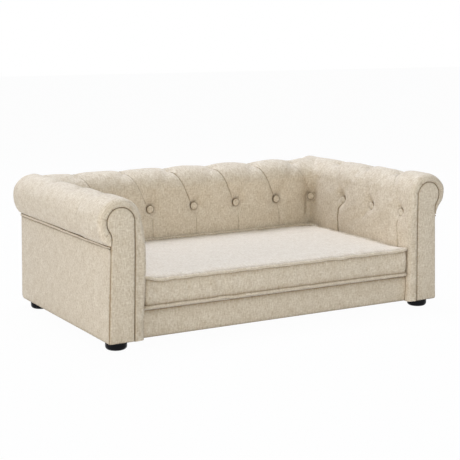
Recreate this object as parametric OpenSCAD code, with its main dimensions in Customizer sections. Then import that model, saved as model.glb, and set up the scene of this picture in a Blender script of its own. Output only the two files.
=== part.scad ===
// Small scroll-arm sofa bed for a dog: wooden frame, tufted roll pads, box cushion, four plastic feet.
// Lengths are millimetres. X runs left to right, Y from the arm fronts to the flat back, Z up from the floor.

/* [Body] */
// Width between the flat outer side panels
body_w = 920; // [890:1:960]
// Depth from the arm fronts to the flat back
body_d = 551; // [530:1:590]
// Radius of the scroll roll along the arms and the back
roll_r = 52.5; // [51:0.5:56]
// Height of the roll's centre line
roll_z = 294; // [288:1:306]
// Distance of the arm roll's centre line in from the side panel
roll_inset = 29; // [28:0.5:31]
// Height of the seam under the arm roll
seam_z = 240; // [232:1:242]
// Height of the seam between the back roll and the outer back
back_seam_z = 279; // [277:0.5:281]

/* [Frame] */
// Thickness of the boards at the arm ends
end_board_t = 15; // [12:0.5:18]
// Thickness of the seat frame's rails
rail_t = 18; // [15:0.5:21]
// Height of the seat frame's rails
rail_h = 54.5; // [52:0.5:57]
// Thickness of the seat deck board
deck_t = 9; // [6:0.5:12]
// Thickness of the thin wall boards
wall_t = 3; // [2.5:0.25:4]
// Height of the arm and back top rails
top_rail_h = 22; // [18:0.5:26]
// Height of the top face of the arm and back top rails
top_rail_z = 260; // [258:0.5:262]
// Radius of the facing's round head, and of the boards and cores behind it
head_r = 33.5; // [31:0.5:35]
// Depth of the back frame, from its inner board to the flat back
back_frame_d = 77; // [74:0.5:80]
// Radius of the back roll's foam core
back_core_r = 29; // [27:0.5:31]
// Length of each foot block along the depth
block_len = 56; // [52:1:60]
// Height of each foot block
block_h = 40; // [36:1:46]
// Width of the upright posts in the back
post_w = 20; // [16:1:26]

/* [Covers] */
// Thickness of the padded facing on each arm front
facing_t = 4; // [3:0.5:6]
// Thickness of the cloth on the deck
deck_cloth_t = 2; // [1.5:0.25:3]
// Thickness of the padded cover on the front rail
rail_cover_t = 3; // [2:0.5:4]
// How far the front rail's cover lies behind the arm fronts
rail_set = 17.7; // [16:0.1:20]
// Thickness of the cloth that closes the bottom
dust_t = 1; // [0.6:0.1:1.5]
// Thickness of the outer back's padded cover
back_cover_t = 3; // [2:0.5:4]
// Height of the welt strip under the arm roll
strip_h = 7; // [5:0.5:9]
// How far the welt strip stands proud of the side panel
strip_proud = 2; // [1:0.25:3]

/* [Pads] */
// Thickness of the arm's inner pad at its fullest
arm_pad_t = 26.5; // [24:0.5:30]
// Thickness of the back's inner pad at its fullest
back_pad_t = 24; // [22.5:0.5:28]
// How far the arm pad draws in at the seat
arm_tuck = 2; // [1:0.5:4]
// How far the back pad draws in at the seat
back_tuck = 6; // [5:0.5:8]
// Width of the rounded rim at the ends of the arm pads
rim = 14; // [11:0.5:17]
// Depth of the arm's button dimples
arm_dimple = 10; // [7:0.5:12]
// Depth of the dimple round the corner button, on the arm's side
corner_dimple = 14; // [11:0.5:16]
// Depth of the back's button dimples
back_dimple = 18; // [14:0.5:19]
// Spread of a button dimple
dimple_w = 26; // [20:1:32]
// Depth of the pinched tufts on the crest of the roll
tuft_depth = 9.5; // [6:0.5:12]
// Spread of a crest tuft
tuft_w = 21; // [16:1:28]
// Distance between the back's buttons
button_pitch = 132; // [126:1:138]
// Height of the back's button row
back_button_z = 239; // [236:1:241]
// Height of the arm's button row
arm_button_z = 248; // [246:1:250]

/* [Buttons] */
// Radius of a covered button
button_r = 10.5; // [9:0.25:12]
// Thickness of a covered button
button_t = 6; // [5:0.25:7]
// Radius of the twine that ties a button
tie_r = 0.8; // [0.6:0.1:1.2]
// Radius of the washer behind the board
washer_r = 8; // [6:0.5:9]
// Thickness of the washer
washer_t = 1.5; // [1:0.25:2]

/* [Cushion] */
// Height of the lower welt's centre above the floor
welt_low_z = 92.1; // [92:0.1:94]
// Height of the upper welt's centre above the floor
welt_high_z = 153.9; // [148:0.1:158]
// Radius of the welts
welt_r = 4.25; // [3.5:0.05:4.4]
// How far the cushion's front welt lies behind the arm fronts
cushion_set = 8.5; // [4:0.5:12]
// Gap between the cushion and the pads round it
cushion_gap = 0.7; // [0.5:0.1:2]
// Radius of the cushion's front corners
front_corner_r = 40; // [30:1:50]
// Radius of the cushion's rear corners
rear_corner_r = 26; // [20:1:34]
// Rise of the cushion's crown over its foam
crown_h = 11; // [7:0.5:14]
// Thickness of the crowned top panel at its edge
crown_edge_t = 2.5; // [2:0.25:3]
// Thickness of the cushion's boxing
boxing_t = 3.2; // [2.5:0.1:3.4]
// Thickness of the cushion's bottom panel
bottom_t = 2.2; // [1.5:0.1:3]

/* [Zip] */
// Length of the zip
zip_len = 560; // [480:5:600]
// Height of the zip tape
zip_tape_h = 24; // [20:1:28]
// Thickness of the zip tape
zip_tape_t = 1; // [0.8:0.1:1.2]
// Height of the zip's coil
coil_h = 5; // [4:0.25:6]
// Thickness of the zip's coil
coil_t = 1.2; // [1:0.1:1.4]
// Length of the zip slider
slider_len = 11; // [9:0.5:14]
// Wall of the zip slider
slider_wall = 1; // [0.8:0.1:1.3]
// Length of the zip pull below its eye
pull_len = 14; // [11:0.5:15]
// Width of the zip pull
pull_w = 6; // [5:0.5:8]
// Thickness of the zip pull
pull_t = 0.9; // [0.8:0.1:1.1]
// Radius of the pin that carries the pull
pull_pin_r = 0.6; // [0.5:0.05:0.7]

/* [Feet] */
// Height of a foot
foot_h = 21; // [20.5:0.1:21.5]
// Radius of a foot
foot_r = 25; // [22:0.5:26]
// Distance of the feet in from the side panels
foot_inset = 29; // [28:0.5:31]
// Distance of the front feet from the arm fronts
front_foot_set = 37; // [34:0.5:44]
// Distance of the rear feet from the flat back
rear_foot_set = 50; // [48:0.5:54]
// Radius of the rounded lower edge of a foot
foot_edge_r = 8; // [5:0.5:10]

/* [Screws] */
// Radius of a screw's shank
screw_r = 2.5; // [2:0.1:3]
// Radius of a screw's head
screw_head_r = 5.5; // [4.5:0.25:6.5]
// Height of a screw's head
screw_head_h = 3; // [2:0.25:4]
// Length of a foot screw below its head
foot_screw_len = 38; // [32:1:42]
// Length of a frame screw below its head
frame_screw_len = 45; // [38:1:52]

/* [Hidden] */
$fn = 64;

// Clearances
soft_gap = 0.3;
facet_gap = 1;
roll_gap = 2.4;
hole_gap = 0.15;
run_gap = 0.3;
pin_gap = 0.1;
overrun = 1;
head_gap = 0.6;

// Small set-backs of covers and buttons
roll_back_set = 1;
facing_lap = 0.5;
arm_button_rise = 1.6;
back_button_rise = 3.3;
corner_button_in = 7.8;
corner_step = 12;

// Colours
linen = [0.80, 0.75, 0.65];
linen_light = [0.84, 0.80, 0.71];
foam = [0.93, 0.90, 0.78];
pine = [0.80, 0.66, 0.45];
plywood = [0.72, 0.58, 0.40];
hardboard = [0.48, 0.36, 0.25];
dust_grey = [0.18, 0.18, 0.19];
gloss_black = [0.03, 0.03, 0.035];
steel = [0.68, 0.69, 0.70];
twine = [0.90, 0.88, 0.80];

// Planes of the frame
front = -body_d / 2;
rear = body_d / 2;
side_x = body_w / 2;
roll_x = side_x - roll_inset;
frame_x = roll_x - head_r;
neck_turn = 48;
frame_out_x = roll_x + head_r * cos(neck_turn);
arm_face_x = frame_x - arm_pad_t;
board_front = front + facing_t;
board_back = board_front + end_board_t;
back_y = rear - back_frame_d;
rear_board_y = rear - back_cover_t;
back_outer_y = rear - back_cover_t - wall_t;
bottom_z = foot_h + dust_t;
rail_top = bottom_z + rail_h;
deck_top = rail_top + deck_t;
deck_z = deck_top + deck_cloth_t;
rail_front = front + rail_set;
rail_back = rail_front + rail_cover_t;
back_roll_y = rear - roll_r - roll_back_set;
back_face_y = back_y - back_pad_t;
strip_top = seam_z + strip_h / 2;

// Counts and shapes of the pads
function share_at(z) = (z - deck_z) / (roll_z - deck_z);
face_shares = [0, 0.22, 0.42, 0.56, 0.64, share_at(back_button_z - button_r), share_at(arm_button_z - button_r),
    share_at(back_button_z + button_r), share_at(top_rail_z + facet_gap), 0.93];
wall_columns = 9;
arc_steps = 12;
under_shares = [1 / 3, 2 / 3, 1];
rim_shares = [0, 0.1, 0.32, 0.64, 1];
rim_keep_share = 0.38;
station_step = 20;
arm_split_share = 0.72;
back_split_share = 0.78;
face_count = len(face_shares);
arc_end = face_count + arc_steps;
column_end = arc_end + len(under_shares);

// Places of the buttons and crest tufts along each arm, as shares of the depth
arm_button_shares = [0.082, 0.312, 0.545];
arm_tuft_shares = [0.199, 0.432, 0.684];
arm_button_ys = [for (s = arm_button_shares) front + body_d * s];
arm_tuft_ys = [for (s = arm_tuft_shares) front + body_d * s];
back_button_xs = [for (k = [-2:2]) k * button_pitch];
back_tuft_xs = [for (k = [-3:2]) (k + 0.5) * button_pitch];

function blend(a, b, t) = a + (b - a) * t;
function total(v, i = 0) = i >= len(v) ? 0 : v[i] + total(v, i + 1);
function station_list(v) = concat(
    [for (i = [0:len(v) - 2]) let (n = ceil((v[i + 1] - v[i]) / station_step))
        for (j = [0:n - 1]) blend(v[i], v[i + 1], j / n)],
    [v[len(v) - 1]]);
function turn(i) = 180 - (i - face_count) * 180 / arc_steps;
function column_z(i, low) = i == 0 ? low : blend(deck_z, roll_z, face_shares[i]);

// Arm section: a column's point on the pad, the point on the frame behind it, and the way a stitch pulls it
function arm_face(t) = arm_face_x + arm_tuck * pow(1 - t, 3) + (roll_x - roll_r - arm_face_x) * pow(t, 5);
function arm_skin(i, low) =
    i < face_count ? [arm_face(face_shares[i]), column_z(i, low)]
    : i <= arc_end ? [roll_x + roll_r * cos(turn(i)), roll_z + roll_r * sin(turn(i))]
    : let (q = 90 * under_shares[i - arc_end - 1])
        [side_x + (roll_x + roll_r - side_x) * cos(q), roll_z - (roll_z - strip_top) * sin(q)];
function arm_core(i, low) =
    i < face_count ? [frame_x, column_z(i, low)]
    : i <= arc_end ? [roll_x + head_r * cos(turn(i)), roll_z + head_r * sin(turn(i))]
    : i < column_end ? let (q = neck_turn * (i - arc_end) / 2)
        [roll_x + head_r * cos(q), roll_z - head_r * sin(q)]
    : [frame_out_x, strip_top];
function pull_way(i) = i < face_count ? [1, 0] : i <= arc_end ? [-cos(turn(i)), -sin(turn(i))] : [0, 0];

// Back section, as depth and height
function back_face(t) = back_face_y + back_tuck * pow(1 - t, 3)
    + (back_roll_y - roll_r - back_face_y) * pow(t, 5);
function back_skin(i) =
    i < face_count ? [back_face(face_shares[i]), column_z(i, deck_z)]
    : i <= arc_end ? [back_roll_y + roll_r * cos(turn(i)), roll_z + roll_r * sin(turn(i))]
    : [back_roll_y + roll_r, blend(roll_z, back_seam_z, under_shares[i - arc_end - 1])];
function back_core(i) =
    i < wall_columns - 1 ? [back_y, column_z(i, deck_z)]
    : i < face_count ? [blend(back_y, back_roll_y - back_core_r,
        (face_shares[i] - face_shares[wall_columns - 2]) / (1 - face_shares[wall_columns - 2])),
        column_z(i, deck_z)]
    : i <= arc_end ? [back_roll_y + back_core_r * cos(turn(i)), roll_z + back_core_r * sin(turn(i))]
    : [back_roll_y + back_core_r, blend(roll_z, back_seam_z, under_shares[i - arc_end - 1])];

// A stitch pulls the pad in by its depth over its floor, which a button covers, and fades over its spread
function stitch_pull(p, stitches) = total([for (s = stitches)
    let (d = norm([p[0] - s[0], p[1] - s[1], p[2] - s[2]]))
    s[3] * min(1, exp((s[5] * s[5] - d * d) / (s[4] * s[4])))]);
button_height_share = share_at(back_button_z);
arm_stitches = concat(
    [for (y = arm_button_ys) [arm_face_x, y, arm_button_z, arm_dimple, dimple_w, button_r]],
    [for (y = arm_tuft_ys) [roll_x, y, roll_z + roll_r, tuft_depth, tuft_w, 0]],
    [[arm_face_x, back_face(button_height_share), back_button_z, corner_dimple, dimple_w, button_r]]);
back_stitches = concat(
    [for (x = back_button_xs) [x, back_face_y, back_button_z, back_dimple, dimple_w, button_r]],
    [for (x = back_tuft_xs) [x, back_roll_y, roll_z + roll_r, tuft_depth, tuft_w, 0]],
    [for (s = [-1, 1]) [s * arm_face_x, back_face_y, back_button_z, back_dimple, dimple_w, button_r]]);

// The rim rounds the ends of the arm pad in towards the facing
function end_distance(y) = min(y - front, rear - y);
function rim_left(y) = let (e = end_distance(y))
    e >= rim ? 1 : 1 - (1 - rim_keep_share) * (1 - sqrt(max(0, 1 - pow(1 - e / rim, 2))));

// A closed skin over a straight core: rows of skin points, and rows of core points at the stops
function skin_faces(rows, cols, stops) = let (
    w = cols + 1,
    base = (rows + 1) * w,
    last = len(stops) - 1,
    stop = [for (k = [0:rows]) total([for (s = stops) s <= k ? 1 : 0]) - 1])
    concat(
        [for (k = [0:rows - 1], i = [0:cols - 1], f = [0, 1])
            f == 0 ? [k * w + i, k * w + i + 1, (k + 1) * w + i + 1]
            : [k * w + i, (k + 1) * w + i + 1, (k + 1) * w + i]],
        [for (m = [0:last - 1], i = [0:cols - 1], f = [0, 1])
            f == 0 ? [base + m * w + i, base + (m + 1) * w + i + 1, base + m * w + i + 1]
            : [base + m * w + i, base + (m + 1) * w + i, base + (m + 1) * w + i + 1]],
        [for (k = [0:rows - 1]) [k * w, (k + 1) * w, base + stop[k] * w]],
        [for (k = [0:rows - 1]) if (stop[k + 1] > stop[k])
            [(k + 1) * w, base + stop[k + 1] * w, base + stop[k] * w]],
        [for (k = [0:rows - 1]) [(k + 1) * w + cols, k * w + cols, base + stop[k] * w + cols]],
        [for (k = [0:rows - 1]) if (stop[k + 1] > stop[k])
            [(k + 1) * w + cols, base + stop[k] * w + cols, base + stop[k + 1] * w + cols]],
        [for (i = [0:cols - 1], f = [0, 1])
            f == 0 ? [i + 1, i, base + i] : [i + 1, base + i, base + i + 1]],
        [for (i = [0:cols - 1], f = [0, 1])
            f == 0 ? [rows * w + i, rows * w + i + 1, base + last * w + i + 1]
            : [rows * w + i, base + last * w + i + 1, base + last * w + i]]);
function flipped(faces) = [for (f = faces) [f[2], f[1], f[0]]];

// Stations along the arm: the front rim, the step behind the front rail's face, the length, the rear rim
step_station = len(rim_shares);
arm_middle_ys = station_list(concat([rail_front],
    [for (k = [0:2]) each [arm_button_ys[k] - button_r, arm_button_ys[k] + button_r, arm_tuft_ys[k]]],
    [rear - rim]));
arm_ys = concat(
    [for (s = rim_shares) front + rim * s],
    [rail_front - soft_gap],
    arm_middle_ys,
    [for (k = [1:len(rim_shares) - 1]) rear - rim * rim_shares[len(rim_shares) - 1 - k]]);
split_y = front + body_d * arm_split_share;
function arm_end(i) = i < wall_columns ? back_y - soft_gap : rear;
function arm_y(k, i) = arm_ys[k] <= split_y ? arm_ys[k]
    : split_y + (arm_ys[k] - split_y) * (arm_end(i) - split_y) / (rear - split_y);
function arm_low(k) = k <= step_station ? foot_h : deck_z;
function arm_skin_point(k, i) = let (
    p = arm_skin(i, arm_low(k)),
    q = arm_core(i, arm_low(k)),
    y = arm_y(k, i),
    d = stitch_pull([p[0], y, p[1]], arm_stitches),
    s = p + pull_way(i) * d,
    r = q + (s - q) * rim_left(y))
    [r[0], y, r[1]];
function arm_core_point(k, i) = let (q = arm_core(i, arm_low(k))) [q[0], arm_y(k, i), q[1]];

// Stations along the back: each column runs from one arm's roll to the other and stops on its surface
split_x = arm_face_x * back_split_share;
half_xs = station_list(concat([button_r],
    [for (k = [0:1]) each [(k + 0.5) * button_pitch, (k + 1) * button_pitch - button_r,
        (k + 1) * button_pitch + button_r]],
    [split_x + button_r, arm_face_x]));
back_xs = concat([for (k = [1:len(half_xs)]) -half_xs[len(half_xs) - k]], half_xs);
back_rows = len(back_xs) - 1;
function roll_across(z) = sqrt(max(corner_step * corner_step, roll_r * roll_r - pow(z - roll_z, 2)));
function skin_reach(z) = (z < roll_z ? arm_face(share_at(z)) - soft_gap : roll_x - roll_across(z) - roll_gap);
function core_reach(z, core_z) = skin_reach(z) - (z < roll_z ? 0 : (z - core_z) * (z - roll_z) / roll_across(z));
function stretched(x, reach) = abs(x) <= split_x ? x
    : sign(x) * (split_x + (abs(x) - split_x) * (reach - split_x) / (arm_face_x - split_x));
function back_skin_point(k, i) = let (
    p = back_skin(i),
    x = stretched(back_xs[k], skin_reach(p[1])),
    s = p + pull_way(i) * stitch_pull([x, p[0], p[1]], back_stitches))
    [x, s[0], s[1]];
function back_core_point(k, i) = let (q = back_core(i))
    [stretched(back_xs[k], core_reach(back_skin(i)[1], q[1])), q[0], q[1]];

// Outlines in the arm's section
head_outline = [for (i = [face_count:column_end - 1]) arm_core(i, deck_z)];
board_outline = concat([[frame_x, bottom_z]], head_outline, [[frame_out_x, bottom_z]]);
facing_outline = concat([[frame_x, foot_h]], head_outline,
    [[frame_out_x, strip_top], [side_x - facing_lap, strip_top], [side_x - facing_lap, foot_h]]);
arm_core_outline = concat([[frame_x, top_rail_z]], head_outline, [[frame_out_x, top_rail_z]]);
back_core_outline = concat(
    [[back_y, top_rail_z]],
    [for (i = [wall_columns - 1:column_end]) back_core(i)],
    [[back_outer_y, back_seam_z], [back_outer_y, top_rail_z]]);

// Arm shapes are drawn for the right arm and mirrored for the left
module on_side(side) { mirror([side < 0 ? 1 : 0, 0, 0]) children(); }
module along_depth(from, to) { translate([0, to, 0]) rotate([90, 0, 0]) linear_extrude(to - from) children(); }
module block(from, to) { translate(from) cube(to - from); }
module along_x(from, to, r) { translate([from, 0, 0]) rotate([0, 90, 0]) cylinder(h = to - from, r = r); }

// Seat frame
screw_z = bottom_z + block_h / 2;
front_screw_y = board_back + block_len / 2;
foot_ys = [front + front_foot_set, rear - rear_foot_set];
rear_block_y = rear_board_y - end_board_t - block_len;
rear_screw_y = rear_block_y + block_len / 2;
screw_ys = [front_screw_y, rear_screw_y];
module seat_deck_board() {
    color(plywood) block([-frame_x, rail_back, rail_top], [frame_x, back_y, deck_top]);
}
module deck_cloth() {
    color(linen_light) block([-frame_x, rail_front, deck_top], [frame_x, back_y, deck_z]);
}
module front_rail_board() {
    color(pine) block([-frame_x, rail_back, bottom_z], [frame_x, rail_back + rail_t, rail_top]);
}
module rear_rail_board() {
    color(pine) block([-frame_x, back_y - rail_t, bottom_z], [frame_x, back_y, rail_top]);
}
module side_rail(side) {
    color(pine) on_side(side) difference() {
        block([frame_x - rail_t, rail_back + rail_t, bottom_z], [frame_x, back_y - rail_t, rail_top]);
        translate([0, front_screw_y, screw_z])
            along_x(frame_x - rail_t - overrun, frame_x + overrun, screw_r + hole_gap);
    }
}
module centre_bearer() {
    color(pine) block([-rail_t / 2, rail_back + rail_t, rail_top - rail_h / 2],
        [rail_t / 2, back_y - rail_t, rail_top]);
}

// Arm frames
module arm_front_board(side) {
    color(plywood) on_side(side) along_depth(board_front, board_back) polygon(board_outline);
}
module arm_rear_board(side) {
    color(plywood) on_side(side) along_depth(rear_board_y - end_board_t, rear_board_y) polygon(board_outline);
}
notch_room = 3;
notch = 2 * (washer_r + notch_room);
notch_depth = washer_r;
module arm_top_rail(side) {
    color(pine) on_side(side) difference() {
        block([frame_x + wall_t, board_back, top_rail_z - top_rail_h],
            [frame_out_x, rear_board_y - end_board_t, top_rail_z]);
        for (y = arm_button_ys)
            block([frame_x + wall_t - overrun, y - notch / 2, top_rail_z - top_rail_h - overrun],
                [frame_x + wall_t + notch_depth, y + notch / 2, top_rail_z + overrun]);
    }
}
module arm_bottom_rail(side) {
    color(pine) on_side(side)
        block([frame_out_x - rail_t, board_back + block_len, bottom_z],
            [frame_out_x, rear_block_y, bottom_z + block_h]);
}
module arm_inner_board(side) {
    color(hardboard) on_side(side) difference() {
        block([frame_x, board_back, bottom_z], [frame_x + wall_t, rear_board_y - end_board_t, top_rail_z]);
        for (y = arm_button_ys) translate([0, y, arm_button_z])
            along_x(frame_x - overrun, frame_x + wall_t + overrun, tie_r + hole_gap);
        for (y = screw_ys) translate([0, y, screw_z])
            along_x(frame_x - overrun, frame_x + wall_t + overrun, screw_r + hole_gap);
    }
}
module arm_outer_board(side) {
    color(hardboard) on_side(side)
        block([frame_out_x, board_front, bottom_z], [frame_out_x + wall_t, rear_board_y, seam_z]);
}
module arm_roll_core(side) {
    color(foam) on_side(side) along_depth(board_back, rear_board_y - end_board_t) polygon(arm_core_outline);
}
module foot_blocks() {
    color(pine) for (side = [-1, 1], k = [0, 1]) on_side(side) difference() {
        block([frame_x + wall_t, k == 0 ? board_back : rear_block_y, bottom_z],
            [frame_out_x, (k == 0 ? board_back : rear_block_y) + block_len, bottom_z + block_h]);
        translate([side_x - foot_inset, foot_ys[k], bottom_z - overrun])
            cylinder(h = foot_screw_len, r = screw_r + hole_gap);
        translate([0, screw_ys[k], screw_z])
            along_x(frame_x, frame_x + frame_screw_len - rail_t + overrun, screw_r + hole_gap);
    }
}

// Arm upholstery
module arm_pad(side) {
    rows = len(arm_ys) - 1;
    stops = [0, step_station, step_station + 1, rows];
    points = concat(
        [for (k = [0:rows], i = [0:column_end]) arm_skin_point(k, i)],
        [for (k = stops, i = [0:column_end]) arm_core_point(k, i)]);
    color(linen) on_side(side) polyhedron(points, flipped(skin_faces(rows, column_end, stops)));
}
module side_panel(side) {
    color(linen) on_side(side)
        block([frame_out_x + wall_t, board_front, foot_h], [side_x, rear - back_cover_t, strip_top - strip_h]);
}
module roll_welt(side) {
    color(linen) on_side(side)
        block([frame_out_x + wall_t, board_front, strip_top - strip_h],
            [side_x + strip_proud, rear - back_cover_t, strip_top]);
}
module arm_facing(side) {
    color(linen) on_side(side) along_depth(front, board_front) polygon(facing_outline);
}

// Back
back_core_x = arm_face_x + arm_tuck / 2;
module back_inner_board() {
    color(hardboard) difference() {
        block([-frame_x, back_y, bottom_z], [frame_x, back_y + wall_t, top_rail_z]);
        for (x = back_button_xs) translate([x, back_y - overrun, back_button_z]) rotate([-90, 0, 0])
            cylinder(h = wall_t + 2 * overrun, r = tie_r + hole_gap);
    }
}
module back_outer_board() {
    color(hardboard) union() {
        block([-frame_x, back_outer_y, bottom_z], [frame_x, rear - back_cover_t, top_rail_z]);
        block([-back_core_x, back_outer_y, top_rail_z], [back_core_x, rear - back_cover_t, back_seam_z]);
    }
}
module back_top_rail() {
    color(pine) difference() {
        block([-frame_x, back_y + wall_t, top_rail_z - top_rail_h], [frame_x, back_outer_y, top_rail_z]);
        for (x = back_button_xs)
            block([x - notch / 2, back_y + wall_t - overrun, top_rail_z - top_rail_h - overrun],
                [x + notch / 2, back_y + wall_t + notch_depth, top_rail_z + overrun]);
    }
}
module back_bottom_rail() {
    color(pine) block([-frame_x, back_y + wall_t, bottom_z], [frame_x, back_outer_y, bottom_z + rail_t]);
}
module back_posts() {
    post_reach = frame_x - post_w;
    color(pine) for (x = [-post_reach, -post_w / 2, post_reach - post_w])
        block([x, back_y + wall_t + notch_depth, bottom_z + rail_t],
            [x + post_w, back_outer_y, top_rail_z - top_rail_h]);
}
module back_roll_core() {
    color(foam) translate([-back_core_x, 0, 0]) rotate([90, 0, 90]) linear_extrude(2 * back_core_x)
        polygon(back_core_outline);
}
module back_pad() {
    stops = [0, back_rows];
    points = concat(
        [for (k = [0:back_rows], i = [0:column_end]) back_skin_point(k, i)],
        [for (k = stops, i = [0:column_end]) back_core_point(k, i)]);
    color(linen) polyhedron(points, skin_faces(back_rows, column_end, stops));
}
back_cover_half = concat(
    [[side_x, foot_h], [side_x, seam_z], [frame_out_x, seam_z]],
    [for (i = [1:len(head_outline)]) head_outline[len(head_outline) - i]],
    [[frame_x, back_seam_z]]);
module back_outer_cover() {
    color(linen) along_depth(rear - back_cover_t, rear) polygon(concat(back_cover_half,
        [for (i = [1:len(back_cover_half)]) let (p = back_cover_half[len(back_cover_half) - i]) [-p[0], p[1]]]));
}

// Front rail, bottom and feet
module front_rail_cover() {
    color(linen) block([-frame_x, rail_front, foot_h], [frame_x, rail_back, deck_top]);
}
module foot_places() {
    for (x = [-1, 1], y = foot_ys) translate([x * (side_x - foot_inset), y, 0]) children();
}
module dust_cover() {
    color(dust_grey) difference() {
        block([-frame_out_x, board_front, foot_h], [frame_out_x, rear - back_cover_t, bottom_z]);
        foot_places() cylinder(h = bottom_z + overrun, r = screw_r + hole_gap);
        block([-frame_x, board_front - overrun, 0], [frame_x, rail_back, bottom_z + overrun]);
    }
}
foot_floor = foot_h / 2;
module foot(x, y) {
    color(gloss_black) translate([x * (side_x - foot_inset), foot_ys[y], 0]) difference() {
        union() {
            cylinder(h = foot_h, r = foot_r - foot_edge_r);
            translate([0, 0, foot_edge_r]) cylinder(h = foot_h - foot_edge_r, r = foot_r);
            translate([0, 0, foot_edge_r]) rotate_extrude() translate([foot_r - foot_edge_r, 0])
                intersection() {
                    circle(foot_edge_r);
                    translate([0, -foot_edge_r]) square([foot_edge_r, foot_edge_r]);
                }
        }
        translate([0, 0, -overrun]) cylinder(h = foot_floor + overrun, r = screw_head_r + head_gap);
        cylinder(h = foot_h + overrun, r = screw_r + hole_gap);
    }
}
module screw(length) {
    translate([0, 0, -screw_head_h]) cylinder(h = screw_head_h, r = screw_head_r);
    cylinder(h = length, r = screw_r);
}
module foot_screws() { color(steel) foot_places() translate([0, 0, foot_floor]) screw(foot_screw_len); }
module frame_screws() {
    color(steel) for (side = [-1, 1]) on_side(side)
        translate([frame_x - rail_t, front_screw_y, screw_z]) rotate([0, 90, 0]) screw(frame_screw_len);
}

// Buttons: a domed cap with a flat back, seated in its dimple
module button() {
    rotate_extrude() intersection() {
        translate([0, button_t - button_dome_r]) circle(button_dome_r);
        square([button_r, button_t]);
    }
}
button_dome_r = (button_r * button_r + button_t * button_t / 4) / button_t;
arm_button_x = arm_face(share_at(arm_button_z)) + arm_dimple - arm_button_rise;
back_button_y = back_face(button_height_share) + back_dimple - back_button_rise;
module back_buttons() {
    color(linen) {
        for (x = back_button_xs) translate([x, back_button_y, back_button_z]) rotate([90, 0, 0]) button();
        for (side = [-1, 1]) on_side(side)
            translate([arm_face_x + corner_button_in, back_face_y + corner_button_in, back_button_z])
                rotate([90, 0, -45]) button();
    }
}
module arm_buttons(side) {
    color(linen) on_side(side) for (y = arm_button_ys)
        translate([arm_button_x, y, arm_button_z]) rotate([0, -90, 0]) button();
}
module button_ties() {
    color(twine) {
        for (x = back_button_xs) translate([x, back_button_y, back_button_z]) rotate([-90, 0, 0])
            cylinder(h = back_y + wall_t + washer_t - back_button_y, r = tie_r);
        for (side = [-1, 1]) on_side(side) for (y = arm_button_ys) translate([0, y, arm_button_z])
            along_x(arm_button_x, frame_x + wall_t + washer_t, tie_r);
    }
}
module washer() {
    difference() {
        cylinder(h = washer_t, r = washer_r);
        translate([0, 0, -overrun]) cylinder(h = washer_t + 2 * overrun, r = tie_r + hole_gap);
    }
}
module tie_washers() {
    color(steel) {
        for (x = back_button_xs) translate([x, back_y + wall_t, back_button_z]) rotate([-90, 0, 0]) washer();
        for (side = [-1, 1]) on_side(side) for (y = arm_button_ys)
            translate([frame_x + wall_t, y, arm_button_z]) rotate([0, 90, 0]) washer();
    }
}

// Cushion: an outline with round corners, drawn in from the welt's centre line
cushion_x = arm_face_x - cushion_gap - welt_r;
cushion_front = front + cushion_set + welt_r;
cushion_rear = back_face(share_at(welt_high_z + welt_r)) - cushion_gap - welt_r;
corner_steps = 6;
side_steps = 8;
front_steps = 14;
function corner(cx, cy, r, from) =
    [for (k = [0:corner_steps]) let (q = from + 90 * k / corner_steps) [cx + r * cos(q), cy + r * sin(q)]];
function between(a, b, n) = [for (k = [1:n - 1]) blend(a, b, k / n)];
function cushion_outline(inset) = let (
    x = cushion_x - inset,
    f = cushion_front + inset,
    b = cushion_rear - inset,
    rf = front_corner_r - inset,
    rb = rear_corner_r - inset)
    concat(
        corner(x - rb, b - rb, rb, 0), between([x - rb, b], [rb - x, b], front_steps),
        corner(rb - x, b - rb, rb, 90), between([-x, b - rb], [-x, f + rf], side_steps),
        corner(rf - x, f + rf, rf, 180), between([rf - x, f], [x - rf, f], front_steps),
        corner(x - rf, f + rf, rf, 270), between([x, f + rf], [x, b - rb], side_steps));
panel_inset = welt_r + soft_gap;
foam_low = welt_low_z - welt_r + bottom_t;
foam_high = welt_high_z - crown_edge_t / 2;
zip_z = (welt_low_z + welt_high_z) / 2;
boxing_out = cushion_rear - zip_tape_t;
module cushion_plate(from, to, inset) {
    translate([0, 0, from]) linear_extrude(to - from) polygon(cushion_outline(inset));
}
module cushion_foam() { color(foam) cushion_plate(foam_low, foam_high, panel_inset); }
module cushion_bottom_panel() { color(linen_light) cushion_plate(foam_low - bottom_t, foam_low, panel_inset); }
module cushion_boxing() {
    color(linen) difference() {
        cushion_plate(welt_low_z + welt_r + soft_gap, welt_high_z - welt_r - soft_gap, zip_tape_t);
        cushion_plate(0, welt_high_z, zip_tape_t + boxing_t);
        block([-zip_len / 2, boxing_out - zip_tape_t, zip_z - zip_tape_h / 2],
            [zip_len / 2, boxing_out + overrun, zip_z + zip_tape_h / 2]);
    }
}

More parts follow.
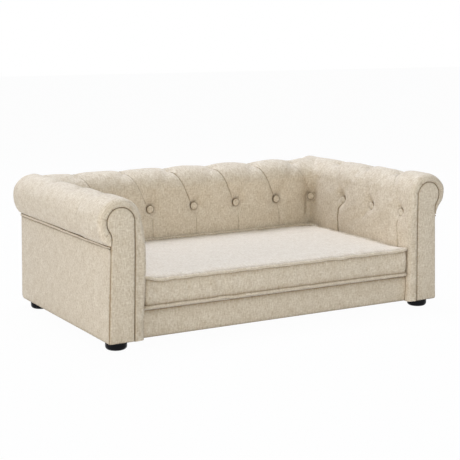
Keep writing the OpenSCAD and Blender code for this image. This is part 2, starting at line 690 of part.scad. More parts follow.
// The crowned panel: rings of the outline, drawn in towards the middle, over a flat underside
crown_ring_shares = [1, 0.985, 0.95, 0.88, 0.76, 0.58, 0.34];
cushion_mid = [0, (cushion_front + cushion_rear) / 2];
module cushion_top_panel() {
    edge = cushion_outline(panel_inset);
    n = len(edge);
    rings = len(crown_ring_shares);
    function crown(s) = foam_high + crown_edge_t + (crown_h - crown_edge_t) * (1 - pow(s, 5));
    points = concat(
        [for (s = crown_ring_shares, p = edge) let (q = blend(cushion_mid, p, s)) [q[0], q[1], crown(s)]],
        [for (p = edge) [p[0], p[1], foam_high]],
        [[cushion_mid[0], cushion_mid[1], crown(0)], [cushion_mid[0], cushion_mid[1], foam_high]]);
    top = rings * n + n;
    faces = concat(
        [for (r = [0:rings - 2], k = [0:n - 1], f = [0, 1]) let (j = (k + 1) % n)
            f == 0 ? [r * n + k, (r + 1) * n + j, r * n + j] : [r * n + k, (r + 1) * n + k, (r + 1) * n + j]],
        [for (k = [0:n - 1]) [(rings - 1) * n + k, top, (rings - 1) * n + (k + 1) % n]],
        [for (k = [0:n - 1], f = [0, 1]) let (j = (k + 1) % n)
            f == 0 ? [rings * n + k, k, j] : [rings * n + k, j, rings * n + j]],
        [for (k = [0:n - 1]) [rings * n + (k + 1) % n, top + 1, rings * n + k]]);
    color(linen_light) polyhedron(points, faces);
}

// Welts: a round cord carried once round the outline
welt_sides = 8;
module cushion_welt(z) {
    path = cushion_outline(0);
    n = len(path);
    points = [for (k = [0:n - 1]) let (
        a = path[(k + n - 1) % n], b = path[(k + 1) % n],
        t = (b - a) / norm(b - a), out = [t[1], -t[0]])
        for (m = [0:welt_sides - 1]) let (q = 360 * (m + 0.5) / welt_sides)
            [path[k][0] + out[0] * welt_r * cos(q), path[k][1] + out[1] * welt_r * cos(q), z + welt_r * sin(q)]];
    faces = [for (k = [0:n - 1], m = [0:welt_sides - 1], f = [0, 1]) let (
        a = k * welt_sides, b = ((k + 1) % n) * welt_sides, j = (m + 1) % welt_sides)
        f == 0 ? [a + m, b + j, a + j] : [a + m, b + m, b + j]];
    color(linen) polyhedron(points, flipped(faces));
}

// Zip in the rear boxing
coil_y = boxing_out + coil_t;
slider_y = coil_y + run_gap + slider_wall;
knuckle_r = pull_pin_r + pin_gap + pull_t / 2;
pull_y = slider_y + run_gap + knuckle_r;
slider_h = coil_h + 2 * run_gap + 2 * slider_wall;
pull_z = zip_z + slider_h / 2 - knuckle_r;
lug_w = slider_wall;
lug_y = pull_y + knuckle_r;
module zip_tape() {
    color(linen_light) {
        block([-zip_len / 2, boxing_out - zip_tape_t, zip_z - zip_tape_h / 2],
            [zip_len / 2, boxing_out, zip_z + zip_tape_h / 2]);
        block([-zip_len / 2 + zip_tape_h, boxing_out, zip_z - coil_h / 2],
            [zip_len / 2 - zip_tape_h, coil_y, zip_z + coil_h / 2]);
    }
}
slider_x = zip_len / 2 - zip_tape_h - slider_len;
module zip_slider() {
    color(steel) translate([slider_x, 0, 0]) {
        difference() {
            block([-slider_len / 2, boxing_out + run_gap, zip_z - slider_h / 2],
                [slider_len / 2, slider_y, zip_z + slider_h / 2]);
            block([-slider_len, boxing_out, zip_z - coil_h / 2 - run_gap],
                [slider_len, coil_y + run_gap, zip_z + coil_h / 2 + run_gap]);
        }
        for (s = [-1, 1])
            block([s * (pull_w / 2 + run_gap + lug_w / 2) - lug_w / 2, slider_y, pull_z - knuckle_r],
                [s * (pull_w / 2 + run_gap + lug_w / 2) + lug_w / 2, lug_y, pull_z + knuckle_r]);
        translate([0, pull_y, pull_z])
            along_x(-pull_w / 2 - run_gap - lug_w / 2, pull_w / 2 + run_gap + lug_w / 2, pull_pin_r);
    }
}
module zip_pull() {
    color(steel) translate([slider_x, pull_y, pull_z]) difference() {
        union() {
            along_x(-pull_w / 2, pull_w / 2, knuckle_r);
            block([-pull_w / 2, -pull_t / 2, -pull_len], [pull_w / 2, pull_t / 2, 0]);
        }
        along_x(-pull_w, pull_w, pull_pin_r + pin_gap);
    }
}

seat_deck_board();
deck_cloth();
front_rail_board();
rear_rail_board();
side_rail(-1);  // side_rail_left
side_rail(1);  // side_rail_right
centre_bearer();
arm_front_board(-1);  // arm_front_board_left
arm_front_board(1);  // arm_front_board_right
arm_rear_board(-1);  // arm_rear_board_left
arm_rear_board(1);  // arm_rear_board_right
arm_top_rail(-1);  // arm_top_rail_left
arm_top_rail(1);  // arm_top_rail_right
arm_bottom_rail(-1);  // arm_bottom_rail_left
arm_bottom_rail(1);  // arm_bottom_rail_right
arm_inner_board(-1);  // arm_inner_board_left
arm_inner_board(1);  // arm_inner_board_right
arm_outer_board(-1);  // arm_outer_board_left
arm_outer_board(1);  // arm_outer_board_right
arm_roll_core(-1);  // arm_roll_core_left
arm_roll_core(1);  // arm_roll_core_right
arm_pad(-1);  // arm_pad_left
arm_pad(1);  // arm_pad_right
side_panel(-1);  // side_panel_left
side_panel(1);  // side_panel_right
roll_welt(-1);  // roll_welt_left
roll_welt(1);  // roll_welt_right
arm_facing(-1);  // arm_facing_left
arm_facing(1);  // arm_facing_right
back_inner_board();
back_outer_board();
back_top_rail();
back_bottom_rail();
back_posts();
back_roll_core();
back_pad();
back_outer_cover();
front_rail_cover();
dust_cover();
foot_blocks();
foot(-1, 0);  // foot_front_left
foot(1, 0);  // foot_front_right
foot(-1, 1);  // foot_rear_left
foot(1, 1);  // foot_rear_right
foot_screws();
frame_screws();
back_buttons();
arm_buttons(-1);  // arm_buttons_left
arm_buttons(1);  // arm_buttons_right
button_ties();
tie_washers();
cushion_foam();
cushion_top_panel();
cushion_bottom_panel();
cushion_boxing();
cushion_welt(welt_high_z);  // cushion_welt_top
cushion_welt(welt_low_z);  // cushion_welt_bottom
zip_tape();
zip_slider();
zip_pull();
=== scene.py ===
import math

import bmesh
import bpy
import numpy as np
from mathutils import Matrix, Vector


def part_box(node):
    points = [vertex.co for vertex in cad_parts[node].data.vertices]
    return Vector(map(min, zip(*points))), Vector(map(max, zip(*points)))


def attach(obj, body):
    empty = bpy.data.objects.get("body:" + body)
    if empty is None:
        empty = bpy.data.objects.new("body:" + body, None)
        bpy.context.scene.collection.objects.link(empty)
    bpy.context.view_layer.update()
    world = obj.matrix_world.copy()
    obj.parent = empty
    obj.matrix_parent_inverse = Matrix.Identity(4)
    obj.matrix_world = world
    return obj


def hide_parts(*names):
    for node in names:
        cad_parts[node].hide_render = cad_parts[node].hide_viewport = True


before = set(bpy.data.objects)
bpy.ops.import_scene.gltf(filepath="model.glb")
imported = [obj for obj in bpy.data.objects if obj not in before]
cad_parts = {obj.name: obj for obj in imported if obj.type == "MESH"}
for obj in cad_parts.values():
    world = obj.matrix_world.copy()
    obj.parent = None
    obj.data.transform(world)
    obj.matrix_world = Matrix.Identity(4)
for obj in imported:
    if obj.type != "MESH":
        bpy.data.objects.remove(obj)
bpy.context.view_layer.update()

# Pieces are worked out in millimetres, in the CAD's own frame, and turn into metres when a mesh is made.
# Materials, camera, floor and lamps are in metres
MM = 0.001


def span(node):
    low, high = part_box(node)
    return np.array(low) / MM, np.array(high) / MM


# Planes read from the CAD's pieces
arm_pad_high = span("arm_pad_right")[1]
facing_low, facing_high = span("arm_facing_right")
cover_low, cover_high = span("back_outer_cover")
panel_low, panel_high = span("side_panel_right")
strip_low, strip_high = span("roll_welt_right")
board_low, board_high = span("arm_front_board_right")
rail_low, rail_high = span("front_rail_cover")
dust_low, dust_high = span("dust_cover")
deck_low, deck_high = span("deck_cloth")
welt_low, welt_high = span("cushion_welt_top")
low_welt_low, low_welt_high = span("cushion_welt_bottom")
tape_low, tape_high = span("zip_tape")
front, board_front = facing_low[1], facing_high[1]
rear, board_rear = cover_high[1], cover_low[1]
side_x, slab_x = panel_high[0], panel_low[0]
frame_x = board_low[0]
foot_h, strip_bottom, strip_top = panel_low[2], strip_low[2], strip_high[2]
deck_z = deck_high[2]
back_y = span("back_inner_board")[0][1]
back_seam_z = span("back_outer_board")[1][2]
top_rail_z = span("arm_top_rail_right")[1][2]

# The roll and the pads, as in the CAD
roll_r = 52.5
roll_x = arm_pad_high[0] - roll_r
roll_z = arm_pad_high[2] - roll_r
head_r = board_high[2] - roll_z
back_roll_y = span("back_pad")[1][1] - roll_r
back_core_r = 29
arm_pad_t, arm_tuck = 26.5, 2
back_pad_t, back_tuck = 24, 6
arm_face_x = frame_x - arm_pad_t
back_face_y = back_y - back_pad_t
rim = 14
rim_keep = 0.38
face_len = roll_z - deck_z
crest_s = face_len + roll_r * math.pi / 2
out_s = face_len + roll_r * math.pi
under_len = 60
arm_end_s = out_s + under_len
back_end_s = out_s + roll_z - back_seam_z

# Stitches
button_r = 10.5
button_t = 6
arm_button_z, back_button_z = 248, 239
depth_y = rear - front
arm_button_ys = [front + depth_y * share for share in (0.082, 0.312, 0.545)]
arm_tuft_ys = [front + depth_y * share for share in (0.199, 0.432, 0.684)]
button_pitch = 132
back_button_xs = [k * button_pitch for k in (-2, -1, 0, 1, 2)]
back_tuft_xs = [(k + 0.5) * button_pitch for k in (-3, -2, -1, 0, 1, 2)]
arm_button_s, back_button_s = arm_button_z - deck_z, back_button_z - deck_z
arm_tuft_s, back_tuft_s = crest_s - 8, crest_s - 12
# Upward distances from a corner button count by this share, which makes its dimple taller than wide
corner_tall = 0.85
# A tuft's pinch is this many times taller than wide
tuft_tall = 1.8


# Small functions that shape cloth
def ease(t):
    t = np.clip(t, 0, 1)
    return t * t * (3 - 2 * t)


def bell(distance, spread):
    return np.exp(-((distance / spread) ** 2))


def cusp(distance, flat, spread, tip=1.5):
    """1 within flat of a stitch, then falling off steeply at first, as pulled cloth does."""
    d = np.maximum(distance - flat, 0)
    return np.exp(-(np.hypot(d, tip) - tip) / spread)


def window(s, start, end, fade):
    return ease((s - start) / fade) * ease((end - s) / fade)


def valley(a, b, start, end, spread):
    """A soft trough along the line between two points of the developed pad."""
    start, end = np.array(start, float), np.array(end, float)
    way = end - start
    share = np.clip(((a - start[0]) * way[0] + (b - start[1]) * way[1]) / (way @ way), 0, 1)
    return bell(np.hypot(a - start[0] - share * way[0], b - start[1] - share * way[1]), spread)


def pleat(c, width=0.9, lip=7.0):
    """A sewn fold seen across: a narrow groove, with the cloth on its left lower than on its right."""
    side = np.tanh(c / 0.6)
    return 1.3 * bell(c, width) - 0.75 * side * np.exp(-np.abs(c) / lip)


def ripples(rng, a, b, wavelength, waves=9):
    total = 0
    for _ in range(waves):
        way, phase = rng.uniform(0, math.tau, 2)
        k = math.tau / (wavelength * rng.uniform(0.65, 1.5))
        total = total + np.sin(k * (a * math.cos(way) + b * math.sin(way)) + phase)
    return total / math.sqrt(waves)


def graded(stops, fine, coarse, growth=1.3):
    """Places from the first stop to the last, close together at the stops and wider between them."""
    places = [np.array([stops[0]])]
    for a, b in zip(stops, stops[1:]):
        half, steps, step = (b - a) / 2, [], fine
        while sum(steps) < half:
            steps.append(step)
            step = min(step * growth, coarse)
        side = np.cumsum(steps) * half / sum(steps)
        places += [a + side, b - side[-2::-1], np.array([b])]
    return np.concatenate(places)


# Sections of the pads
def wall(z, face, tuck, roll):
    """A pad's face below its roll: drawn in at the seat, and curving out to meet the roll."""
    t = (z - deck_z) / face_len
    return face + tuck * np.maximum(1 - t, 0) ** 3 + (roll - roll_r - face) * np.maximum(t, 0) ** 5


def arm_face(z):
    return wall(z, arm_face_x, arm_tuck, roll_x)


def back_face(z):
    return wall(z, back_face_y, back_tuck, back_roll_y)


def roll_reach(z, r=roll_r):
    return np.sqrt(np.maximum(r * r - (z - roll_z) ** 2, 0))


def arm_inner_x(z):
    return np.where(z < roll_z, arm_face(z), roll_x - roll_reach(z))


def back_inner_y(z):
    return np.where(z < roll_z, back_face(z), back_roll_y - roll_reach(z))


# Where each corner button sits: on the pads' own faces at its height
corner_x, corner_y = float(arm_inner_x(back_button_z)), float(back_face(back_button_z))

# The facing's outer edge under the roll: an arc of the head, then a curve down to the strip
neck_turn = math.radians(38)
neck_share = 0.55
neck_top = np.array([roll_x + head_r * math.cos(neck_turn), roll_z - head_r * math.sin(neck_turn)])
neck_reach = 10.5
neck_mid = neck_top - neck_reach * np.array([math.sin(neck_turn), math.cos(neck_turn)])
neck_low = np.array([side_x - 5, strip_top])
facing_foot_x = side_x - 1.4
flare_reach = 4.5


def flare(z):
    """How far the arms' fronts and sides stand out towards the floor, below the strip under the roll."""
    return flare_reach * np.clip((strip_bottom - z) / (strip_bottom - foot_h), 0, 1)


def neck(w):
    """The facing's outer edge from the head's widest point, w = 0, to the top of the strip, w = 1."""
    q = neck_turn * np.clip(w / neck_share, 0, 1)
    arc = np.stack([roll_x + head_r * np.cos(q), roll_z - head_r * np.sin(q)], -1)
    u = np.clip((w - neck_share) / (1 - neck_share), 0, 1)[..., None]
    curve = (1 - u) ** 2 * neck_top + 2 * u * (1 - u) * neck_mid + u * u * neck_low
    return np.where((w <= neck_share)[..., None], arc, curve)


def with_roll(s, centre, core_r, section):
    """A section's skin, core and way into the pad, with the stretch that goes round the roll put in."""
    q = math.pi - (s - face_len) / roll_r
    turn = np.stack([np.cos(q), np.sin(q)], -1)
    here = ((s > face_len) & (s <= out_s))[:, None]
    around = centre + roll_r * turn, centre + core_r * turn, -turn
    return [np.where(here, new, old) for new, old in zip(around, section)]


def arm_section(s):
    """Skin point, core point and the way into the pad, in x and z, along the arm's section."""
    z = np.minimum(deck_z + s, roll_z)
    skin = np.stack([arm_face(np.maximum(z, deck_z)), z], -1)
    core = np.stack([np.full_like(s, frame_x), z], -1)
    way = np.broadcast_to([1.0, 0.0], skin.shape)
    skin, core, way = with_roll(s, np.array([roll_x, roll_z]), head_r, (skin, core, way))
    w = (s - out_s) / under_len
    p = np.clip(w, 0, 1) * math.pi / 2
    across, drop = roll_x + roll_r - side_x, roll_z - strip_top
    under = (s > out_s)[:, None]
    skin = np.where(under, np.stack([side_x + across * np.cos(p), roll_z - drop * np.sin(p)], -1), skin)
    core = np.where(under, neck(w), core)
    slope = np.stack([-np.cos(p) / across, np.sin(p) / drop], -1)
    way = np.where(under, slope / np.linalg.norm(slope, axis=1)[:, None], way)
    return skin, core, way


def back_section(s):
    """The same for the back's section, in y and z."""
    z = np.minimum(deck_z + s, roll_z)
    above_rail = np.clip((z - top_rail_z) / (roll_z - top_rail_z), 0, 1)
    core_y = back_y + (back_roll_y - back_core_r - back_y) * above_rail
    skin = np.stack([back_face(z), z], -1)
    core = np.stack([core_y, z], -1)
    way = np.broadcast_to([1.0, 0.0], skin.shape)
    skin, core, way = with_roll(s, np.array([back_roll_y, roll_z]), back_core_r, (skin, core, way))
    low = roll_z - np.maximum(s - out_s, 0)
    behind = (s > out_s)[:, None]
    skin = np.where(behind, np.stack([np.full_like(s, back_roll_y + roll_r), low], -1), skin)
    core = np.where(behind, np.stack([np.full_like(s, back_roll_y + back_core_r), low], -1), core)
    way = np.where(behind, np.array([-1.0, 0.0]), way)
    return skin, core, way


# The rounded inner corner where the back meets an arm, above the corner button
corner_round, corner_crest_share = 26, 0.25
corner_start_z, corner_grown_z = 250, 290
corner_fade_z, corner_crest_z = 325, 347


def corner_radius(z):
    grown = ease((z - corner_start_z) / (corner_grown_z - corner_start_z))
    faded = ease((z - corner_fade_z) / (corner_crest_z - corner_fade_z))
    return corner_round * grown * (1 - (1 - corner_crest_share) * faded)


def corner_fill(distance, z):
    """How far both pads stand out towards the room, at a distance from the corner."""
    r = np.maximum(corner_radius(z), 1e-6)
    share = np.clip(distance / r, 0.25, 1)
    return r * (1 - np.sqrt(share)) ** 2 * (corner_radius(z) > 1e-3)


# How far each point of an arm pad is drawn in, and its painted shade, over y and the section's length s. The
# numbers in these formulas are lengths along the cloth, spreads and depths in millimetres, and shares
arm_floor = 6.4
front_fold_shift, front_fold_run = 20.4, 40
gather_turns = [math.radians(a) for a in (172, 124, 58, 13)]
gather_s = [face_len + (math.pi - a) * roll_r for a in gather_turns] + [out_s + 0.52 * under_len]


def puckers(a, b, centre, folds, off, spread):
    """Small folds round a stitch, strongest where off is 0."""
    turn = np.arctan2(b - centre[1], a - centre[0])
    return np.cos(folds * turn + centre[0]) * bell(off, spread)


def add_fold(d, dark, c, along, groove, trough, shade):
    """A fold: a sewn groove of a depth, width and lip, a trough of a depth and spread, and its shade."""
    d = d + along * (groove[0] * pleat(c, *groove[1:]) + trough[0] * bell(c, trough[1]))
    return d, np.maximum(dark, shade[0] * along * bell(c, shade[1]))


def add_troughs(d, a, b, troughs):
    """Soft troughs between two points of the cloth, each with its depth and spread."""
    for start, end, depth, spread in troughs:
        d = d + depth * valley(a, b, start, end, spread)
    return d


def arm_depth(y, s, creases, seed, side):
    rng = np.random.default_rng(seed)
    z = deck_z + s
    d = np.zeros_like(y)
    dark = np.zeros_like(y)
    buttons = [(by, arm_button_s) for by in arm_button_ys]
    tufts = [(ty, arm_tuft_s) for ty in arm_tuft_ys]
    corner = (corner_y, back_button_s)
    # Each button's dimple is deeper above and behind it and wider behind it, with a painted shade ring round
    # the button, darker behind it
    for by, button_s in buttons:
        gap = np.hypot(y - by, s - button_s)
        floor = arm_floor + 1.2 * np.tanh((s - button_s) / 6) + 2.2 * np.tanh((y - by) / 6)
        d = np.maximum(d, floor * cusp(gap, button_r - 2.6, 7 + 8 * ease((y - by) / 24 + 0.5)))
        d = d + 2.6 * bell(np.hypot(y - by - 9, s - button_s - 9), 17)
        behind = 0.2 + 0.8 * ease((y - by) / 14 + 0.5)
        dark = np.maximum(dark, 0.75 * bell(gap - button_r + 1.6, 2.2) * behind)
        d = d + 0.35 * puckers(y, s, (by, button_s), 5, gap - button_r - 7, 6)
    # The corner button's dimple, with a painted shade ring round it
    gap = np.hypot(y - corner[0], (s - corner[1]) * corner_tall)
    d = np.maximum(d, 11 * cusp(gap, button_r - 2, 15))
    dark = np.maximum(dark, 0.4 * bell(gap - button_r + 1.5, 2.2))
    for ty, tuft_s in tufts:
        gap = np.hypot(y - ty, (s - tuft_s) / tuft_tall)
        d = d + 9.6 * cusp(gap, 0, 12, 2.0)
        d = d + 0.5 * puckers(y, s, (ty, tuft_s), 4, gap - 9, 6)
    under_middle = [(arm_button_ys[1] + 5, arm_button_s - 6), (arm_button_ys[1] + 30, arm_button_s - 33)]
    d = add_troughs(d, y, s, [
        (buttons[0], tufts[0], 2.6, 11), (buttons[1], tufts[0], 2.0, 11), (buttons[1], tufts[1], 2.8, 11),
        (buttons[2], tufts[1], 2.2, 11), (buttons[2], tufts[2], 2.8, 11), (corner, tufts[2], 2.2, 11),
        (*under_middle, 2.6, 5.5), (buttons[0], (front + rim + 3, arm_button_s + 18), 0.9, 8)])
    # Folds under the front and rear buttons, each with painted shade along its groove
    for name, strength, drop in (("button_0", 0.8, 14), ("button_2", 1.5, 8)):
        along = window(s, -40, arm_button_s - drop, 12)
        d, dark = add_fold(d, dark, creases[name], along, (strength, 0.9, 9), (1.3 * strength, 7),
                           (strength / 2, 1.3))
    # Short pinches over the crest, and the front tuft's fold down the outside, all with painted shade along
    # them
    for name, drop, strength in (("tuft_0", 64, 0.8), ("tuft_1", 40, 0.55), ("tuft_2", 40, 0.55)):
        along = window(s, crest_s - drop, crest_s + 8, 14)
        d, dark = add_fold(d, dark, creases[name], along, (0.8 * strength, 1.0, 9), (0.8 * strength, 8),
                           (0.42 * strength, 1.2))
    outside = window(s, crest_s - 10, arm_end_s + 20, 20)
    d = d + outside * (1.3 * bell(creases["tuft_0"], 3) + 1.7 * ease(creases["tuft_0"] / 5 + 0.5))
    dark = np.maximum(dark, 0.5 * outside * bell(creases["tuft_0"], 2.0))
    # Undulation of the filling, and the strip beside the front rail
    calm = ease((arm_end_s - s) / 14) * ease((s + 80) / 20)
    d = d + calm * (0.7 * ripples(rng, y, s, 95) + 0.22 * ripples(rng, y, s, 30))
    d = d + 3.0 * ease((deck_z - z) / 20) * (1 - 0.35 * ease((45 - z) / 20))
    # Just behind its front rim the left wall stands out, and the right one draws in beside the cushion
    if side < 0:
        bulge = 1.2 * ease((z - 95) / 20) + 3.2 * ease((z - 160) / 25)
    else:
        bulge = -3.6 * ease((z - 70) / 25) * ease((215 - z) / 45)
    d = d - bulge * ease((305 - z) / 50) * bell(y - front - 14, 34)
    # Fuller lobes: place and spread along the arm, place and spread along the section, height
    over, between = crest_s - 6, arm_button_s + 6
    for at_y, wide, at_s, tall, height in (
            (front + 48, 40, crest_s + 20, 75, 2.2), (-201, 34, over, 42, 1.6), (-68, 34, over, 42, 1.6),
            (-167, 34, between, 34, 2.4), (-39, 34, between, 34, 2.4), (95, 34, between, 34, 2.4),
            (225, 40, over, 45, -1.6)):
        d = d - height * bell(y - at_y, wide) * bell(s - at_s, tall)
    if side > 0:
        # The right roll stands out more at its front end, and tucks in sooner under it
        near_front = bell(y - front - 8, 34)
        d = d - 4.2 * near_front * bell(s - out_s + 16, 24)
        d = d + 8.5 * near_front * ease((s - out_s - 10) / 22) * ease((arm_end_s - s) / 6)
    return d, dark


def gathers(s, run):
    """Short creases that run out from the facing's seam, run millimetres along the cloth."""
    total = np.zeros(np.broadcast(s, run).shape)
    for k, gs in enumerate(gather_s):
        reach = 9 + 3 * math.sin(2.3 * k)
        total = total + bell(s - gs - 0.12 * run * (-1) ** k, 1.9) * (1 - ease((run - reach + 4) / 10))
    return total


def end_columns():
    """Columns of an arm pad's end, from its seam outwards: share of the pad kept, depth, turn, run."""
    flat = np.array([0, 0.05, 0.12, 0.22, 0.36, 0.52, 0.7, 0.86])
    turns = np.linspace(0, math.pi / 2, 11)[:-1]
    keep = np.concatenate([rim_keep * flat, rim_keep + (1 - rim_keep) * np.sin(turns)])
    seam_dip = 2.8 * np.exp(-flat / 0.09) - 0.8 * np.sin(math.pi * flat)
    depth = np.concatenate([seam_dip, rim * (1 - np.cos(turns))])
    turn = np.concatenate([np.zeros(len(flat)), turns])
    pad_t = roll_r - head_r
    run = np.concatenate([[0], np.cumsum(np.hypot(np.diff(keep) * pad_t, np.diff(depth)))])
    return keep, depth, turn, run


def three_parts(first, middle, last, count):
    """One value for each column of a pad, given as an array or a number for its front, middle and rear."""
    parts = zip((first, middle, last), count)
    return np.concatenate([np.broadcast_to(np.asarray(part, float), n) for part, n in parts])


def arm_guides(s, z, stops):
    """Where each guide of the arm's columns lies at each row: its stitches, the corner and the pad's end."""
    corner_col, rim_col, end_col = 8, 9, 10
    below_button = ease((arm_button_s - s) / 30)
    past_crest = ease((s - crest_s) / front_fold_run)
    places = np.empty((len(s), end_col + 1))
    places[:, :rim_col] = stops[:rim_col]
    # The first button's seam and the last button's seam wander on their way down
    places[:, 2] += below_button * (4 + 7 * bell(s - 128, 26))
    places[:, 6] += 16 * below_button - 6 * ease((95 - s) / 50)
    # Each tuft's fold leans forwards on its way down, and the front one backwards over the crest
    down = np.clip((arm_tuft_s - s) / (arm_tuft_s - arm_button_s), 0, 1) ** 1.1
    down = down * ease((s - arm_button_s + 15) / 35)
    for k in range(3):
        places[:, 3 + 2 * k] -= (arm_tuft_ys[k] - arm_button_ys[k] - 6) * down
    places[:, 3] += front_fold_shift * past_crest
    in_corner = np.where(s < crest_s, back_inner_y(z), stops[corner_col])
    places[:, corner_col] = np.minimum(in_corner, 205)
    # Below the top rail the pad ends at the back's inner board, and above it at the outer back cover
    end = back_y - 0.3 + (rear - back_y) * np.clip((deck_z + s - top_rail_z) / 19, 0, 1)
    end = np.minimum(end, rear)
    shrink = (end - stops[corner_col]) / (rear - stops[corner_col])
    places[:, rim_col] = end - rim * np.minimum(shrink, 1)
    places[:, end_col] = end
    return places, places[:, corner_col][:, None], end


def arm_pad_points(seed, side):
    """Outer grid, core grid and cloth coordinates of an arm's pad, drawn as on the right."""
    low = foot_h - deck_z
    s = graded(sorted([low, 0, arm_button_s, crest_s, arm_end_s] + gather_s), 1.3, 4.6)
    low_row = int(np.argmin(np.abs(s)))
    keep_e, depth_e, turn_e, run_e = end_columns()
    corner_v = 176.0
    step_v = rail_low[1] - 0.3
    names = [f"{kind}_{k}" for k in range(3) for kind in ("button", "tuft")]
    inner = [place for pair in zip(arm_button_ys, arm_tuft_ys) for place in pair]
    stops = [front + rim, step_v] + inner + [corner_v, rear - rim]
    middle = graded(stops, 1.0, 5.2, 1.35)
    count = len(run_e), len(middle), len(run_e)
    v = np.concatenate([front + depth_e, middle, (rear - depth_e)[::-1]])
    keep = three_parts(keep_e, 1, keep_e[::-1], count)
    turn = three_parts(turn_e, math.pi / 2, turn_e[::-1], count)
    away = three_parts(1, 1, -1, count)
    # Lengths along the cloth from the seam of each end. Away from the ends they only have to be large
    run_end, far = run_e[-1] + 2, 99.0
    run = three_parts(run_e, far, far, count)
    rear_run = three_parts(far, far, run_e[::-1], count)
    cloth_u = np.concatenate([front + rim - run_end + run_e, middle, rear - rim + run_end - run_e[::-1]])
    skin, core, way = arm_section(s)
    z = skin[:, 1]
    places, corner, end = arm_guides(s, z, stops)
    knots = np.array(stops + [rear])
    y = np.stack([np.interp(v, knots, row) for row in places])
    # The front rim is squarer beside the flat wall than on the roll
    square = 1 - 0.3 * ease((face_len - 10 - s) / 60)[:, None]
    in_front = v < front + rim
    at_rim = in_front & (turn > 0)
    y[:, in_front] = v[in_front]
    y[:, at_rim] = front + rim * (1 - np.cos(turn[at_rim]) ** square)
    keep = np.broadcast_to(keep, y.shape).copy()
    keep[:, at_rim] = rim_keep + (1 - rim_keep) * np.sin(turn[at_rim]) ** square
    creases = {name: y - places[:, 2 + k][:, None] for k, name in enumerate(names)}
    srow = np.broadcast_to(s[:, None], y.shape)
    d, dark = arm_depth(y, srow, creases, seed, side)
    # Gathers beside the facings' seams, with painted shade in them
    pinch = gathers(srow, run[None, :]) + gathers(srow, rear_run[None, :])
    d = d * np.sin(turn) + 1.7 * pinch
    dark = np.maximum(dark, 0.34 * np.clip(pinch, 0, 1))
    # Corner fill towards the room
    fill = corner_fill(corner - y, z[:, None]) * ease((y - 90) / 30) * (s < crest_s)[:, None]
    fill = fill * (1 - ease((y - corner) / 14))
    x0 = core[:, :1] + (skin[:, :1] - core[:, :1]) * keep + flare(z)[:, None] * (1 - keep) * in_front
    z0 = core[:, 1:] + (skin[:, 1:] - core[:, 1:]) * keep
    across = np.sin(turn)
    points = np.stack([x0 + way[:, :1] * d * across - fill, y + away * d * np.cos(turn),
                       z0 + way[:, 1:] * d * across], -1)
    stops_at = [0, int(np.argmin(np.abs(v - step_v))), len(v) - 1]
    core_points = np.stack([np.broadcast_to(core[:, :1], (len(s), 3)), y[:, stops_at],
                            np.broadcast_to(core[:, 1:], (len(s), 3))], -1)
    core_points[:, 0, 1] = board_front
    core_points[:, 2, 1] = np.where(end >= rear - 1, board_rear, end)
    cloth = np.stack([np.where((run < far) | (rear_run < far), cloth_u, y), srow], -1)
    # Painted shade along the seams at the pad's ends, and along its step beside the front rail
    ends = np.minimum(run, rear_run)
    dark = np.maximum(dark, bell(ends, 2.7) + 0.24 * np.exp(-ends / 6))
    at_rail = (z[:, None] < deck_z + 2) * bell(y - step_v, 1.9)
    return points, core_points, cloth, np.clip(np.maximum(dark, 0.95 * at_rail), 0, 1), stops_at, low_row


# How far each point of the back pad is drawn in, and its painted shade, over x and the section's length s
back_floor = 12.8
# The trough of a fold that has none: no depth, and any spread
no_trough = (0, 1)


